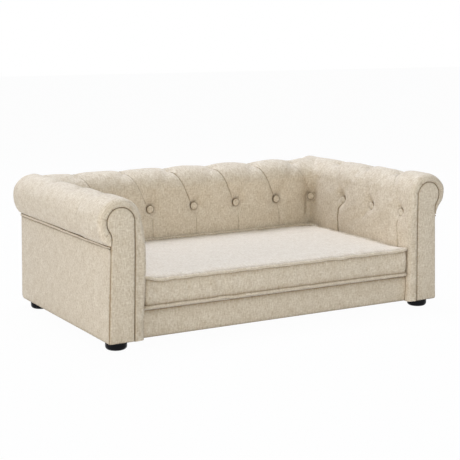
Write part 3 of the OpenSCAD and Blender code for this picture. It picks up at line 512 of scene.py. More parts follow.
def back_depth(x, s, creases, seed):
    rng = np.random.default_rng(seed)
    button_s, tuft_s = back_button_s, back_tuft_s
    d = np.zeros_like(x)
    dark = np.zeros_like(x)
    # Each button's and each corner button's dimple, with a painted shade ring round the button
    for bx in back_button_xs:
        gap = np.hypot(x - bx, s - button_s)
        d = np.maximum(d, back_floor * cusp(gap, button_r - 1, 17))
        dark = np.maximum(dark, 0.75 * bell(gap - button_r + 0.4, 2.0))
        d = d + 0.4 * puckers(x, s, (bx, button_s), 5, gap - button_r - 8, 7)
    for side in (-1, 1):
        gap = np.hypot(x - side * corner_x, (s - button_s) * corner_tall)
        d = np.maximum(d, 14.5 * cusp(gap, button_r - 2, 16))
        dark = np.maximum(dark, 0.4 * bell(gap - button_r + 1.5, 2.2))
    for tx in back_tuft_xs:
        gap = np.hypot(x - tx, (s - tuft_s) / tuft_tall)
        d = d + 8.4 * cusp(gap, 0, 14, 2.0)
        d = d + 0.55 * puckers(x, s, (tx, tuft_s), 4, gap - 9, 6)
    for bx in back_button_xs:
        button = (bx, button_s)
        d = add_troughs(d, x, s, [(button, (bx - button_pitch / 2, tuft_s), 2.0, 10),
                                  ((bx + 2, button_s), (bx + button_pitch / 2, tuft_s), 3.0, 12),
                                  ((bx + 5, button_s + 8), (bx + 17, button_s + 40), 2.6, 5)])
        d = d + 3.0 * bell(np.hypot(x - bx, s - button_s - 12), 18)
    right, left = (corner_x, button_s), (-corner_x, button_s)
    d = add_troughs(d, x, s, [(right, (back_tuft_xs[-1], tuft_s), 2.6, 9),
                              (left, (back_tuft_xs[0], tuft_s), 2.6, 9)])
    # The long folds from each button up to the left, the seams under the buttons, and the folds behind, each
    # with painted shade along it
    for k, strength in enumerate((0.7, 0.75, 1.25, 1.2, 1.15)):
        up = window(s, button_s + 7, tuft_s - 6, 10)
        d, dark = add_fold(d, dark, creases[k], up, (strength, 0.95, 9), no_trough, (0.48 * strength, 1.2))
        down = window(s, -40, button_s - 16, 22)
        d, dark = add_fold(d, dark, creases[k], down, (0.75, 0.8, 6), no_trough, (0.4, 1.1))
        behind = window(s, crest_s - 8, back_end_s + 30, 18)
        d, dark = add_fold(d, dark, creases[k], behind, (0.9, 1.1, 8), (0.9, 9), (0.3, 1.1))
    # The fold above each corner button, with painted shade along it
    up = window(s, button_s + 20, tuft_s - 8, 14)
    d, dark = add_fold(d, dark, creases["corner"], up, (0.6, 0.95, 8), no_trough, (0.3, 1.2))
    d = d + 2.4 * valley(x, s, (corner_x - 4, button_s + 8), (corner_x - 26, button_s + 52), 6)
    # The deep fold beside the corner, under its button, with painted shade in it
    fold = valley(x, s, (corner_x - 9, button_s - 6), (corner_x - 14, button_s - 46), 5.0)
    fold = fold * window(s, button_s - 70, button_s - 4, 16)
    d = d + 5.0 * fold
    dark = np.maximum(dark, 0.42 * fold)
    calm = ease((back_end_s - s) / 12)
    d = d + calm * (0.8 * ripples(rng, x, s, 110) + 0.25 * ripples(rng, x, s, 32))
    return d, dark


def arm_reach(y, z):
    """How far out the arm's surface lies at a point of the back pad's end."""
    keep = rim_keep + (1 - rim_keep) * np.sqrt(1 - np.clip(1 - (rear - y) / rim, 0, 1) ** 2)
    core = np.where(z < roll_z, frame_x, roll_x - roll_reach(z, head_r))
    return core + (arm_inner_x(z) - core) * keep


def back_pad_points(seed):
    button_s = back_button_s
    s = graded([0, button_s, crest_s, back_end_s], 1.4, 4.4)
    skin, core, way = back_section(s)
    z = skin[:, 1]
    # The pad's ends run a little way into the arms' surface, further where the corner button pulls it in
    embed, arm_pull_depth, end_band = 1.6, 13, 13
    corner = arm_reach(skin[:, 0], z)
    corner = np.where(s > back_tuft_s, np.minimum(corner, roll_x - 9), corner)
    arm_pull = arm_pull_depth * cusp(np.abs(s - button_s) * corner_tall, button_r - 2, 15)
    corner_end = corner + arm_pull - corner_radius(z) / 4 * (s < crest_s) + embed
    climb = np.clip((s - button_s - 2) / (back_tuft_s - button_s), 0, 1) ** 0.7
    shift = -button_pitch / 2 * climb + 3.5 * ease((button_s - s) / 20)
    edge = 356.0
    stops = [-arm_face_x, -edge] + back_button_xs + [edge, arm_face_x]
    right = corner_end - end_band
    corner_fold = right + (back_tuft_xs[-1] - 8 - right) * ease((s - button_s - 22) / 88)
    folds = [bx + shift for bx in back_button_xs] + [corner_fold]
    places = np.stack([-corner_end, -right] + folds + [corner_end], -1)
    v = graded(stops, 1.0, 5.0, 1.35)
    x = np.stack([np.interp(v, stops, row) for row in places])
    names = list(range(len(back_button_xs))) + ["corner"]
    creases = {name: x - line[:, None] for name, line in zip(names, folds)}
    srow = np.broadcast_to(s[:, None], x.shape)
    d, dark = back_depth(x, srow, creases, seed)
    off = corner[:, None] - np.abs(x)
    fill = corner_fill(off, z[:, None]) * (s < crest_s)[:, None]
    sink = 1.8 * ease((14 - off) / 14) * (s > crest_s - 40)[:, None]
    d = d + sink + 1.6 * bell(srow - crest_s, 50)
    points = np.stack([x, skin[:, :1] + way[:, :1] * d - fill, skin[:, 1:] + way[:, 1:] * d], -1)
    points[0, :, 2] = deck_z
    ends = x[:, [0, -1]]
    core_points = np.stack([ends, np.broadcast_to(core[:, :1], ends.shape),
                            np.broadcast_to(core[:, 1:], ends.shape)], -1)
    return points, core_points, np.stack([x, srow], -1), dark, [0, len(v) - 1], 0


# Meshes
def add_piece(name, points, faces, material, body, replaced=(), cloth=None, dark=None,
              sharp=48):
    mesh = bpy.data.meshes.new(name)
    mesh.from_pydata((np.asarray(points, float) * MM).tolist(), [], faces)
    mesh.validate()
    if cloth is not None:
        layer = mesh.uv_layers.new(name="weave")
        corners = np.empty(len(mesh.loops), np.int32)
        mesh.loops.foreach_get("vertex_index", corners)
        layer.data.foreach_set("uv", (np.asarray(cloth, float)[corners] * MM).astype(np.float32).ravel())
    # dark is painted shade from 0 to 1, kept in a point attribute that the linen mixes towards dark brown
    if dark is not None:
        shade = mesh.attributes.new("painted_shade", "FLOAT", "POINT")
        shade.data.foreach_set("value", np.asarray(dark, np.float32))
    work = bmesh.new()
    work.from_mesh(mesh)
    bmesh.ops.remove_doubles(work, verts=work.verts, dist=1e-6)
    bmesh.ops.recalc_face_normals(work, faces=work.faces)
    work.to_mesh(mesh)
    work.free()
    mesh.polygons.foreach_set("use_smooth", np.ones(len(mesh.polygons), bool))
    mesh.set_sharp_from_angle(angle=math.radians(sharp))
    mesh.materials.append(material)
    piece = bpy.data.objects.new(name, mesh)
    bpy.context.scene.collection.objects.link(piece)
    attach(piece, body)
    if replaced:
        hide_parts(*replaced)
    return piece


def pad_shell(outer, core, stops, low_row):
    """Points and faces of a closed pad: a fine outer grid over a plain core with points at the stops only."""
    rows, cols = outer.shape[:2]
    base, count = rows * cols, len(stops)
    step = stops[1] if low_row else 0

    def at(i, k):
        return i * cols + k

    def inner(i, j):
        return base + i * count + j

    def cap(i, columns, corners):
        return tuple([at(i, k) for k in columns] + [inner(i, j) for j in corners])

    faces = []
    for i in range(rows - 1):
        last = cols - 1 if i >= low_row else step
        faces += [(at(i, k), at(i + 1, k), at(i + 1, k + 1), at(i, k + 1)) for k in range(last)]
        for j in range(count - 1):
            if i >= low_row or stops[j + 1] <= step:
                faces.append((inner(i, j), inner(i, j + 1), inner(i + 1, j + 1), inner(i + 1, j)))
        faces.append((at(i, 0), inner(i, 0), inner(i + 1, 0), at(i + 1, 0)))
        j = count - 1 if i >= low_row else 1
        k = cols - 1 if i >= low_row else step
        faces.append((at(i, k), at(i + 1, k), inner(i + 1, j), inner(i, j)))
    every_stop = range(count - 1, -1, -1)
    if low_row:
        faces.append(cap(0, range(step + 1), (1, 0)))
        faces.append(cap(low_row, range(step, cols), (2, 1)))
    else:
        faces.append(cap(0, range(cols), every_stop))
    faces.append(cap(rows - 1, range(cols), every_stop))
    return np.concatenate([outer.reshape(-1, 3), core.reshape(-1, 3)]), faces


def add_pad(name, grids, flip, replaced, material):
    points, core, cloth, dark, stops, low_row = grids
    vertices, faces = pad_shell(points, core, stops, low_row)
    vertices[:, 0] *= flip
    all_cloth = np.concatenate([cloth.reshape(-1, 2), cloth[:, stops].reshape(-1, 2)])
    all_dark = np.concatenate([dark.reshape(-1), dark[:, stops].reshape(-1)])
    return add_piece(name, vertices, faces, material, "sofa", replaced, all_cloth, all_dark)


def band(first, second, n):
    """Faces between two closed rings of n points, which start at two places in a list."""
    return [(first + k, first + (k + 1) % n, second + (k + 1) % n, second + k) for k in range(n)]


def ring_shell(rings, back):
    """Closed panel: rings of points from the edge to the middle line, and one flat face at the back."""
    n, base = len(back), len(rings) * len(back)
    faces = [face for r in range(len(rings) - 1) for face in band(r * n, (r + 1) * n, n)]
    faces += band(base, 0, n)
    faces.append(tuple(range(base, base + n)))
    return np.concatenate(list(rings) + [back]), faces


def loop_shell(rows):
    """A tube that runs round to its own start: rows of points along it, joined round."""
    n, count = len(rows[0]), len(rows)
    return np.concatenate(rows), [face for r in range(count) for face in band(r * n, (r + 1) % count * n, n)]


def joined(shells):
    """Several shells as one list of points and one of faces."""
    points, faces, start = [], [], 0
    for part, part_faces in shells:
        points.append(part)
        faces += [tuple(start + v for v in face) for face in part_faces]
        start += len(part)
    return np.concatenate(points), faces


def upright(ring, y):
    """A ring in x and z, stood up at a depth y."""
    return np.stack([ring[:, 0], np.broadcast_to(y, len(ring)), ring[:, 1]], -1)


def level(ring, z):
    """A ring in x and y, laid at a height z."""
    return np.stack([ring[:, 0], ring[:, 1], np.broadcast_to(z, len(ring))], -1)


def inset_rings(edge, middle, insets, shares):
    """The outline drawn in towards its middle line, first by lengths and then by shares of what is left."""
    reach = np.linalg.norm(middle - edge, axis=1)[:, None]
    rings = [edge + (middle - edge) * np.minimum(1, t / reach) for t in insets]
    last = rings[-1]
    return rings + [last + (middle - last) * share for share in shares]


def panel_rise(t, groove, crown, spread, roll=0.7):
    return -groove * np.exp(-t / roll) + crown * (1 - np.exp(-t / spread))


# Pieces of the cover
def add_cover(name, shell, side, axes, dark, material):
    """A closed piece of the sofa's cover, built as on the right and mirrored for the left."""
    points, faces = shell
    cloth = points[:, axes]
    points = points * np.array([side, 1, 1])
    add_piece(name, points, faces, material, "sofa", [name], cloth, dark)


def round_corner(edge, r):
    """Draw the outline's low outer corner in to an arc of radius r."""
    centre = np.array([edge[:, 0][edge[:, 1] < foot_h + 0.1].max() - r, foot_h + r])
    from_centre = edge - centre
    outside = (from_centre[:, 0] > 0) & (from_centre[:, 1] < 0)
    length = np.linalg.norm(from_centre[outside], axis=1)
    edge[outside] = centre + from_centre[outside] * np.minimum(1, r / np.maximum(length, 1e-6))[:, None]


def keyhole(corner):
    """Outline of a facing and its middle line, in x and z, with the radius of its low outer corner."""
    fine_top, foot_reach = foot_h + 16, 26
    heights = np.concatenate([np.arange(foot_h, fine_top, 1.6), np.arange(fine_top, roll_z, 4.0)])
    left = np.stack([np.full_like(heights, frame_x), heights], -1)
    turns = np.linspace(math.pi, 0, 34)
    head = np.stack([roll_x + head_r * np.cos(turns), roll_z + head_r * np.sin(turns)], -1)
    w = np.linspace(0, 1, 60)
    curve = neck(w)
    down = heights[::-1]
    straight = neck_low[0] + (facing_foot_x - neck_low[0]) * (strip_top - down) / (strip_top - foot_h)
    right_x = np.where(down >= strip_top, np.interp(-down, -curve[:, 1], curve[:, 0]), straight)
    right = np.stack([right_x, down], -1)
    base_x = np.linspace(right_x[-1], frame_x, 14)[1:-1]
    base = np.stack([base_x, np.full_like(base_x, foot_h)], -1)
    edge = np.concatenate([left, head, right, base])
    edge[:, 0] += flare(edge[:, 1])
    round_corner(edge, corner)
    mid_x = (frame_x + right_x[::-1]) / 2 + flare(heights)
    mid_z = np.maximum(heights, foot_h + foot_reach)
    mids = np.stack([mid_x, mid_z], -1)
    centre = np.array([roll_x, roll_z])
    foot_mid = np.array([mid_x[0], foot_h + foot_reach])
    middle = [mids, np.broadcast_to(centre, head.shape), mids[::-1], np.broadcast_to(foot_mid, base.shape)]
    return edge, np.concatenate(middle)


def add_facings(material):
    insets = [0, 0.2, 0.5, 1.0, 1.7, 2.5, 3.4, 4.6, 6.8, 10, 15, 21]
    shares = [0.4, 0.75, 1]
    from_seam = insets + [28] * len(shares)
    for side, name, corner in ((-1, "arm_facing_left", 3), (1, "arm_facing_right", 6)):
        edge, middle = keyhole(corner)
        rings = []
        for t, ring in zip(from_seam, inset_rings(edge, middle, insets, shares)):
            rng = np.random.default_rng(31 + side)
            wave = 0.22 * ripples(rng, ring[:, 0], ring[:, 1], 55) * ease(t / 10)
            rise = 0.9 - 2.9 * (1 - min(t / 3.4, 1)) ** 2 + 0.7 * (1 - math.exp(-t / 9)) + wave
            rings.append(upright(ring, front - rise))
        shell = ring_shell(rings, upright(edge, board_front))
        # Painted shade along the facing's seam, and full shade on its hidden back
        dark = np.append(ring_shade(from_seam, len(edge), spread=0.9, halo=6), np.ones(len(edge)))
        add_cover(name, shell, side, [0, 2], dark, material)


def box_outline(a, b, radii, step):
    """A rectangle's outline, anticlockwise from its low corner, with a radius at each corner."""
    corners = [(a[0], b[0], 180), (a[1], b[0], 270), (a[1], b[1], 0), (a[0], b[1], 90)]
    inward = [(1, 1), (-1, 1), (-1, -1), (1, -1)]
    arcs = []
    for (at_a, at_b, start), (to_a, to_b), r in zip(corners, inward, radii):
        turns = np.radians(start + np.linspace(0, 90, max(2, int(r / 1.2) + 2)))
        arcs.append(np.stack([at_a + to_a * r + r * np.cos(turns), at_b + to_b * r + r * np.sin(turns)], -1))
    points = []
    for arc, after in zip(arcs, arcs[1:] + arcs[:1]):
        gap = after[0] - arc[-1]
        n = max(1, int(np.linalg.norm(gap) / step))
        points += [arc, arc[-1] + gap * np.linspace(0, 1, n + 1)[1:-1, None]]
    return np.concatenate(points)


def box_middle(edge, a, b):
    half = min(a[1] - a[0], b[1] - b[0]) / 2
    return np.stack([np.clip(edge[:, 0], a[0] + half, a[1] - half),
                     np.clip(edge[:, 1], b[0] + half, b[1] - half)], -1)


def slab(a, b, radii, step, insets, shares, groove, crown, spread, seed, wave):
    """Rings of a padded rectangular panel: its two coordinates, and how far it rises from its face."""
    edge = box_outline(a, b, radii, step)
    rings = inset_rings(edge, box_middle(edge, a, b), insets, shares)
    rises = []
    for t, ring in zip(insets + [insets[-1] * 2] * len(shares), rings):
        rng = np.random.default_rng(seed)
        soft = ripples(rng, ring[:, 0], ring[:, 1], 120) + 0.3 * ripples(rng, ring[:, 0], ring[:, 1], 45)
        rises.append(panel_rise(t, groove, crown, spread) + ease(t / 12) * wave * soft)
    return edge, rings, rises


wide_insets = [0, 0.3, 0.8, 1.5, 2.5, 4, 6, 9, 14, 22, 34]
wide_shares = [0.2, 0.4, 0.6, 0.8, 1]
# How far the panels' and the outer back cover's faces lie inside the planes that they swell out to
panel_sink, cover_sink = 0.6, 0.8


def shade_lengths(insets, shares):
    """Each ring's length from the seam, for its shade: far for the inner rings, and 0 for the back."""
    unseen = 99
    return insets + [unseen] * len(shares) + [0]


def ring_shade(lengths, n, strength=0.95, spread=1.9, halo=7):
    """The seam's shade for rings of n points, from each ring's length from the seam."""
    return np.repeat([strength * math.exp(-t / spread) + 0.1 * math.exp(-t / halo) for t in lengths], n)


def front_taper(y, z):
    """How far the side draws in behind the facing, most under the roll."""
    depth, run, start_z = 3.6, 55, foot_h + 20
    return depth * ease((z - start_z) / (strip_top - start_z)) * np.exp(-(y - front) / run)


def add_side_panels(material):
    dark_lengths = shade_lengths(wide_insets, wide_shares)
    for side, name in ((-1, "side_panel_left"), (1, "side_panel_right")):
        edge, rings, rises = slab((front + 2.2, board_rear), (foot_h, strip_bottom), (1.5, 13, 1.5, 1.5), 6,
                                  wide_insets, wide_shares, groove=2.6, crown=0.9, spread=16,
                                  seed=51 + side, wave=0.35)
        shells = []
        for ring, rise in zip(rings, rises):
            x = side_x - panel_sink + rise + flare(ring[:, 1]) - front_taper(ring[:, 0], ring[:, 1])
            shells.append(np.stack([x, ring[:, 0], ring[:, 1]], -1))
        back = np.stack([np.full(len(edge), slab_x), np.maximum(edge[:, 0], board_front), edge[:, 1]], -1)
        # Painted shade along the panel's seams
        dark = ring_shade(dark_lengths, len(edge))
        add_cover(name, ring_shell(shells, back), side, [1, 2], dark, material)


def add_roll_welts(material):
    """The band under each arm roll: a thin rounded strip that narrows towards the front."""
    ys = np.linspace(front + 2.0, board_rear, 150)
    turns = np.radians(np.linspace(-90, 90, 9))
    for side, name in ((-1, "roll_welt_left"), (1, "roll_welt_right")):
        rng = np.random.default_rng(71 + side)
        height = (strip_top - strip_bottom) * (0.62 + 0.38 * ease((ys - front) / depth_y * 1.4))
        low = strip_bottom + 0.25 * ripples(rng, ys, 0, 60)
        out = 1.6 + 0.25 * ripples(rng, ys, 0, 40)
        base_x = side_x - 0.4 - front_taper(ys, strip_top)
        rows = []
        for turn in turns:
            z = low + height * (0.5 + 0.5 * math.sin(turn))
            rows.append(np.stack([base_x + out * math.cos(turn), ys, z], -1))
        for z in (low + height, low):
            rows.append(np.stack([np.full_like(ys, slab_x), np.maximum(ys, board_front), z], -1))
        # Painted shade along the strip's upper and lower edges, and on its hidden back
        dark = np.repeat([abs(math.sin(turn)) ** 3 for turn in turns] + [1, 1], len(ys))
        add_cover(name, tube_shell(np.array(rows)), side, [1, 2], dark, material)


def tube_shell(rows):
    """A closed bar: rows of points along it, joined round, with a flat face at each end."""
    count, n = rows.shape[:2]
    faces = []
    for r in range(count):
        q = (r + 1) % count
        faces += [(r * n + k, r * n + k + 1, q * n + k + 1, q * n + k) for k in range(n - 1)]
    faces.append(tuple(r * n for r in range(count)))
    faces.append(tuple(r * n + n - 1 for r in range(count)))
    return rows.reshape(-1, 3), faces


def add_outer_back(material):
    """The outside back: a wide panel between two keyhole facings, joined by seams."""
    face_y = rear - cover_sink
    edge, rings, rises = slab((-frame_x + 0.4, frame_x - 0.4), (foot_h, back_seam_z), (1.5, 1.5, 2, 2), 7,
                              wide_insets, wide_shares, groove=2.4, crown=0.7, spread=18, seed=91, wave=0.4)

    def flared(ring):
        return np.stack([ring[:, 0] * (1 + flare(ring[:, 1]) / frame_x), ring[:, 1]], -1)

    shells = [upright(flared(ring), face_y + rise) for ring, rise in zip(rings, rises)]
    parts = [ring_shell(shells, upright(flared(edge), board_rear))]
    # Painted shade along the seams of the panel and of both keyhole facings
    shades = [ring_shade(shade_lengths(wide_insets, wide_shares), len(edge))]
    edge, middle = keyhole(13)
    insets = [0, 0.3, 0.8, 1.5, 2.8, 5, 9, 16]
    shares = [0.5, 1]
    lengths = insets + [30] * len(shares)
    shells = [upright(ring, face_y + panel_rise(t, groove=2.2, crown=1.0, spread=9))
              for t, ring in zip(lengths, inset_rings(edge, middle, insets, shares))]
    points, faces = ring_shell(shells, upright(edge, board_rear))
    for side in (-1, 1):
        parts.append((points * np.array([side, 1, 1]), faces))
        shades.append(ring_shade(shade_lengths(insets, shares), len(edge)))
    add_cover("back_outer_cover", joined(parts), 1, [0, 2], np.concatenate(shades), material)


def add_rail_cover(material):
    insets, shares = [0, 0.3, 0.8, 1.5, 2.5, 4, 7, 11, 16], [0.3, 0.65, 1]
    half_w = frame_x - 0.3
    edge, rings, rises = slab((-half_w, half_w), (foot_h, rail_high[2]), (1.5, 1.5, 1.5, 1.5), 6,
                              insets, shares, groove=2.2, crown=0.6, spread=9, seed=111, wave=0.28)
    shells = []
    for ring, rise in zip(rings, rises):
        from_wall = (arm_face_x + 2 - np.abs(ring[:, 0])).clip(0)
        pucker = 0.5 * np.sin(ring[:, 1] / 9 + 1.1) * np.exp(-from_wall / 9)
        shells.append(upright(ring, rail_low[1] - rise - pucker))
    points, faces = ring_shell(shells, upright(edge, rail_high[1]))
    # Painted shade along the seam, and a painted shadow along the rail's top, under the cushion's overhanging
    # welt
    seam = ring_shade(shade_lengths(insets, shares), len(edge))
    painted_shadow = 0.8 * np.exp((points[:, 2] - rail_high[2]) / 7)
    dark = np.maximum(seam, painted_shadow)
    add_cover("front_rail_cover", (points, faces), 1, [0, 2], dark, material)


# Covered buttons
def lathe(profile, turns):
    """Points and faces of a profile of radius and height, turned round its axis."""
    q = np.linspace(0, math.tau, turns, endpoint=False)
    points = [np.stack([r * np.cos(q), r * np.sin(q), np.full(turns, z)], -1) for r, z in profile]
    faces = [face for i in range(len(profile) - 1) for face in band(i * turns, (i + 1) * turns, turns)]
    return np.concatenate(points), faces


def add_buttons(name, places, material):
    # A dome, then the rim turned under to a flat back
    radii = np.array([0.6, 2.5, 4.5, 6.2, 7.6, 8.7, 9.5, 10.1, 10.45, 10.5])
    dome = button_t * (0.34 + 0.66 * np.sqrt(np.clip(1 - (radii / 11.2) ** 2, 0, 1)))
    rim_under = [(10.2, 1.6), (9.6, 0.4), (8.6, 0.0), (0.0, 0.0)]
    base, base_faces = lathe([(0.0, dome[0] + 0.02)] + list(zip(radii, dome)) + rim_under, 40)
    from_axis, around = np.hypot(base[:, 0], base[:, 1]), np.arctan2(base[:, 1], base[:, 0])
    up = np.array([0, 0, 1.0])
    shells, cloth = [], []
    rng = np.random.default_rng(len(name))
    for number, (back_centre, way) in enumerate(places):
        way = np.array(way, float) / np.linalg.norm(way)
        folds = 1 + 0.012 * np.sin(around * 9 + rng.uniform(0, 6)) * (from_axis > 9)
        turned = np.outer(base[:, 0] * folds, np.cross(up, way)) + np.outer(base[:, 1] * folds, up)
        shells.append((turned + np.outer(base[:, 2], way) + back_centre, base_faces))
        cloth.append(base[:, :2] + 37 * number)
    # Painted shade: full on the button's turned-under rim, and growing towards the dome's edge
    dark = np.where(base[:, 2] < 2.2, 1.0, 0.85 * ease((from_axis - 8.4) / 2.0))
    points, faces = joined(shells)
    add_piece(name, points, faces, material, "sofa", [name], np.concatenate(cloth),
              np.tile(dark, len(places)))


def node_clusters(node, reach):
    """Centres of a node's separate solids, each smaller than reach across."""
    points = np.array([v.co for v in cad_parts[node].data.vertices]) / MM
    centres = []
    while len(points):
        near = np.linalg.norm(points - points[0], axis=1) < reach
        centres.append((points[near].min(0) + points[near].max(0)) / 2)
        points = points[~near]
    return centres


def button_places(node):
    """Back plane and facing direction of each button in a node."""
    places = []
    for centre in node_clusters(node, 4 * button_r):
        side = 1 if centre[0] > 0 else -1
        if node.startswith("arm"):
            way = (-side, 0, 0)
        elif abs(centre[0]) > back_button_xs[-1] + button_pitch / 2:
            way = (-side * math.sqrt(0.5), -math.sqrt(0.5), 0)
        else:
            way = (0, -1, 0)
        places.append((centre - np.array(way) * (button_t / 2 + 1), way))
    return places


# Cushion
welt_r = (welt_high[2] - welt_low[2]) / 2
welt_z = (welt_high[2] + welt_low[2]) / 2
low_welt_z = (low_welt_high[2] + low_welt_low[2]) / 2
front_left_r, front_right_r, rear_r = 7, 5, 38
rear_raise, side_raise, corner_push = 6.8, 3.0, 5.6
outline_x = welt_high[0] - welt_r
outline_front, outline_rear = welt_low[1] + welt_r, welt_high[1] - welt_r
outline_spans = (-outline_x, outline_x), (outline_front, outline_rear)
panel_top = span("cushion_top_panel")[1][2]
# About the step between the outline's last point and its first
loop_gap = 3


def cushion_outline():
    """Centre line of the welts, its outward directions and its length so far, anticlockwise."""
    edge = box_outline(*outline_spans, (front_left_r, front_right_r, rear_r, rear_r), 3.2)
    before, after = np.roll(edge, 1, 0), np.roll(edge, -1, 0)
    way = after - before
    way /= np.linalg.norm(way, axis=1)[:, None]
    out = np.stack([way[:, 1], -way[:, 0]], -1)
    length = np.concatenate([[0], np.cumsum(np.linalg.norm(after - edge, axis=1))[:-1]])
    return edge, out, length


def loop_noise(rng, length, total, wavelength, waves=10):
    """Noise along a closed line, the same at both its ends."""
    value = np.zeros_like(length)
    for _ in range(waves):
        turns = max(1, round(total / wavelength * rng.uniform(0.5, 1.8)))
        value += np.sin(math.tau * turns * length / total + rng.uniform(0, math.tau))
    return value / math.sqrt(waves)


def near_rear(edge):
    """1 along the cushion's rear edge, fading to 0 along its sides."""
    return ease((edge[:, 1] - outline_rear + 40) / 30)


def beside(edge, out, offset, z):
    """The welts' line moved outwards by an offset, at a height."""
    return level(edge + out * np.broadcast_to(offset, len(edge))[:, None], z)


def cushion_waves():
    """How the welts and the edges beside them wander: outward and upward, for the top and the bottom welt."""
    edge, out, length = cushion_outline()
    total = length[-1] + np.linalg.norm(edge[0] - edge[-1])
    rng = np.random.default_rng(5)
    from_left, from_right = [np.hypot(edge[:, 0] - side * outline_x, edge[:, 1] - outline_front)
                             for side in (-1, 1)]
    reach = corner_push * bell(from_right, 45) + 2.4 * bell(from_left, 40)
    raised = side_raise * ease((edge[:, 1] - outline_front - 50) / 90)
    raised = raised + (rear_raise - side_raise) * ease((edge[:, 1] - outline_rear + 70) / 60)
    raised = raised + 7.0 * bell(from_left, 19) + 3.0 * bell(from_right, 24)
    rear_part = 1 + 0.5 * ease((edge[:, 1] - 120) / 50)
    waves = {}
    for name, size, lift in (("top", 1.0, raised), ("bottom", 0.8, 0)):
        upward = 0.55 * size * rear_part * loop_noise(rng, length, total, 85) + lift
        waves[name] = (0.45 * size * loop_noise(rng, length, total, 70) + reach, upward)
    return edge, out, length, waves


def add_welt(name, z, waves, which, material):
    edge, out, length, both = waves
    sideways, upward = both[which]
    sides = 12
    rng = np.random.default_rng(17)
    girth = welt_r * (1 + 0.025 * loop_noise(rng, length, length[-1] + loop_gap, 22))
    rows, shades, cloth = [], [], []
    at_rear = near_rear(edge)
    for m in range(sides):
        q = math.tau * (m + 0.5) / sides
        rows.append(beside(edge, out, sideways + girth * math.cos(q), z + upward + girth * math.sin(q)))
        # Painted shade along the welt's inner side, and at the rear along its top, where it meets the back
        # pad
        inner_side = 0.85 * ease((-math.cos(q) - 0.5) / 0.3) * ease((0.3 - math.sin(q)) / 0.4)
        shades.append(inner_side * (1 - at_rear) + 0.8 * at_rear * bell(q - 1.3, 0.35))
        cloth.append(np.stack([length + 0.5 * girth * q, girth * q], -1))
    points, faces = loop_shell(rows)
    add_piece(name, points, faces, material, "cushion", [name], np.concatenate(cloth),
              np.concatenate(shades))


def add_cushion_top(material, waves):
    edge, out, length, both = waves
    sideways, upward = both["top"]
    middle = box_middle(edge, *outline_spans)
    insets = [3.9, 4.3, 4.8, 5.4, 6.2, 7.2, 8.6, 10.8, 14, 18, 23, 29, 36, 44, 53, 63]
    shares = [0.1, 0.2, 0.3, 0.4, 0.5, 0.6, 0.7, 0.8, 0.9, 1]
    total = length[-1] + loop_gap
    rng = np.random.default_rng(23)
    pucker = loop_noise(rng, length, total, 26) + 0.7 * loop_noise(rng, length, total, 13)
    crown = panel_top - welt_z - 1.6
    rings = []
    at_rear = near_rear(edge)
    for t, ring in zip(insets + [80] * len(shares), inset_rings(edge, middle, insets, shares)):
        rng = np.random.default_rng(29)
        within = t - insets[0]
        lift = -1.6 + 3.2 * (1 - math.exp(-within / 0.9)) + crown * (1 - math.exp(-within / 14))
        # At the rear the panel starts lower than the welt and swells later
        later = 0.9 * crown * (within / 20) * math.exp(-within / 20) + 2.6 * math.exp(-within / 14)
        lift = lift - at_rear * later * ease((70 - within) / 40)
        near = math.exp(-within / 17) * ease((75 - within) / 30)
        soft = 0.55 * ripples(rng, ring[:, 0], ring[:, 1], 170)
        soft = soft + 0.2 * ripples(rng, ring[:, 0], ring[:, 1], 60)
        height = welt_z + lift + near * upward + 0.55 * pucker * near * ease(t / 8)
        height = height + (soft - 0.6) * ease(t / 30)
        rings.append(level(ring + out * (sideways * near)[:, None], height))
    points, faces = ring_shell(rings, level(rings[0], welt_z - 3.4))
    # Painted shade along the seam with the welt, weaker at the rear
    lengths = shade_lengths([t - insets[0] for t in insets], shares)
    dark = ring_shade(lengths, len(edge), strength=0.9, spread=2.6)
    dark = dark * (1 - 0.6 * np.tile(at_rear, len(lengths)))
    add_piece("cushion_top_panel", points, faces, material, "cushion", ["cushion_top_panel"],
              points[:, :2], dark)


def add_cushion_bottom(material):
    edge = cushion_outline()[0]
    middle = box_middle(edge, *outline_spans)
    insets = [welt_r * 0.8, 5, 7, 11, 18, 30]
    shares = [0.3, 0.65, 1]
    rings = []
    for t, ring in zip(insets + [40] * len(shares), inset_rings(edge, middle, insets, shares)):
        drop = 2.4 * math.exp(-(t - insets[0]) / 3)
        rings.append(level(ring, deck_z + 0.35 + drop))
    points, faces = ring_shell(rings, level(rings[0], low_welt_z + 1.0))
    add_piece("cushion_bottom_panel", points, faces, material, "cushion",
              ["cushion_bottom_panel"], points[:, :2], None)


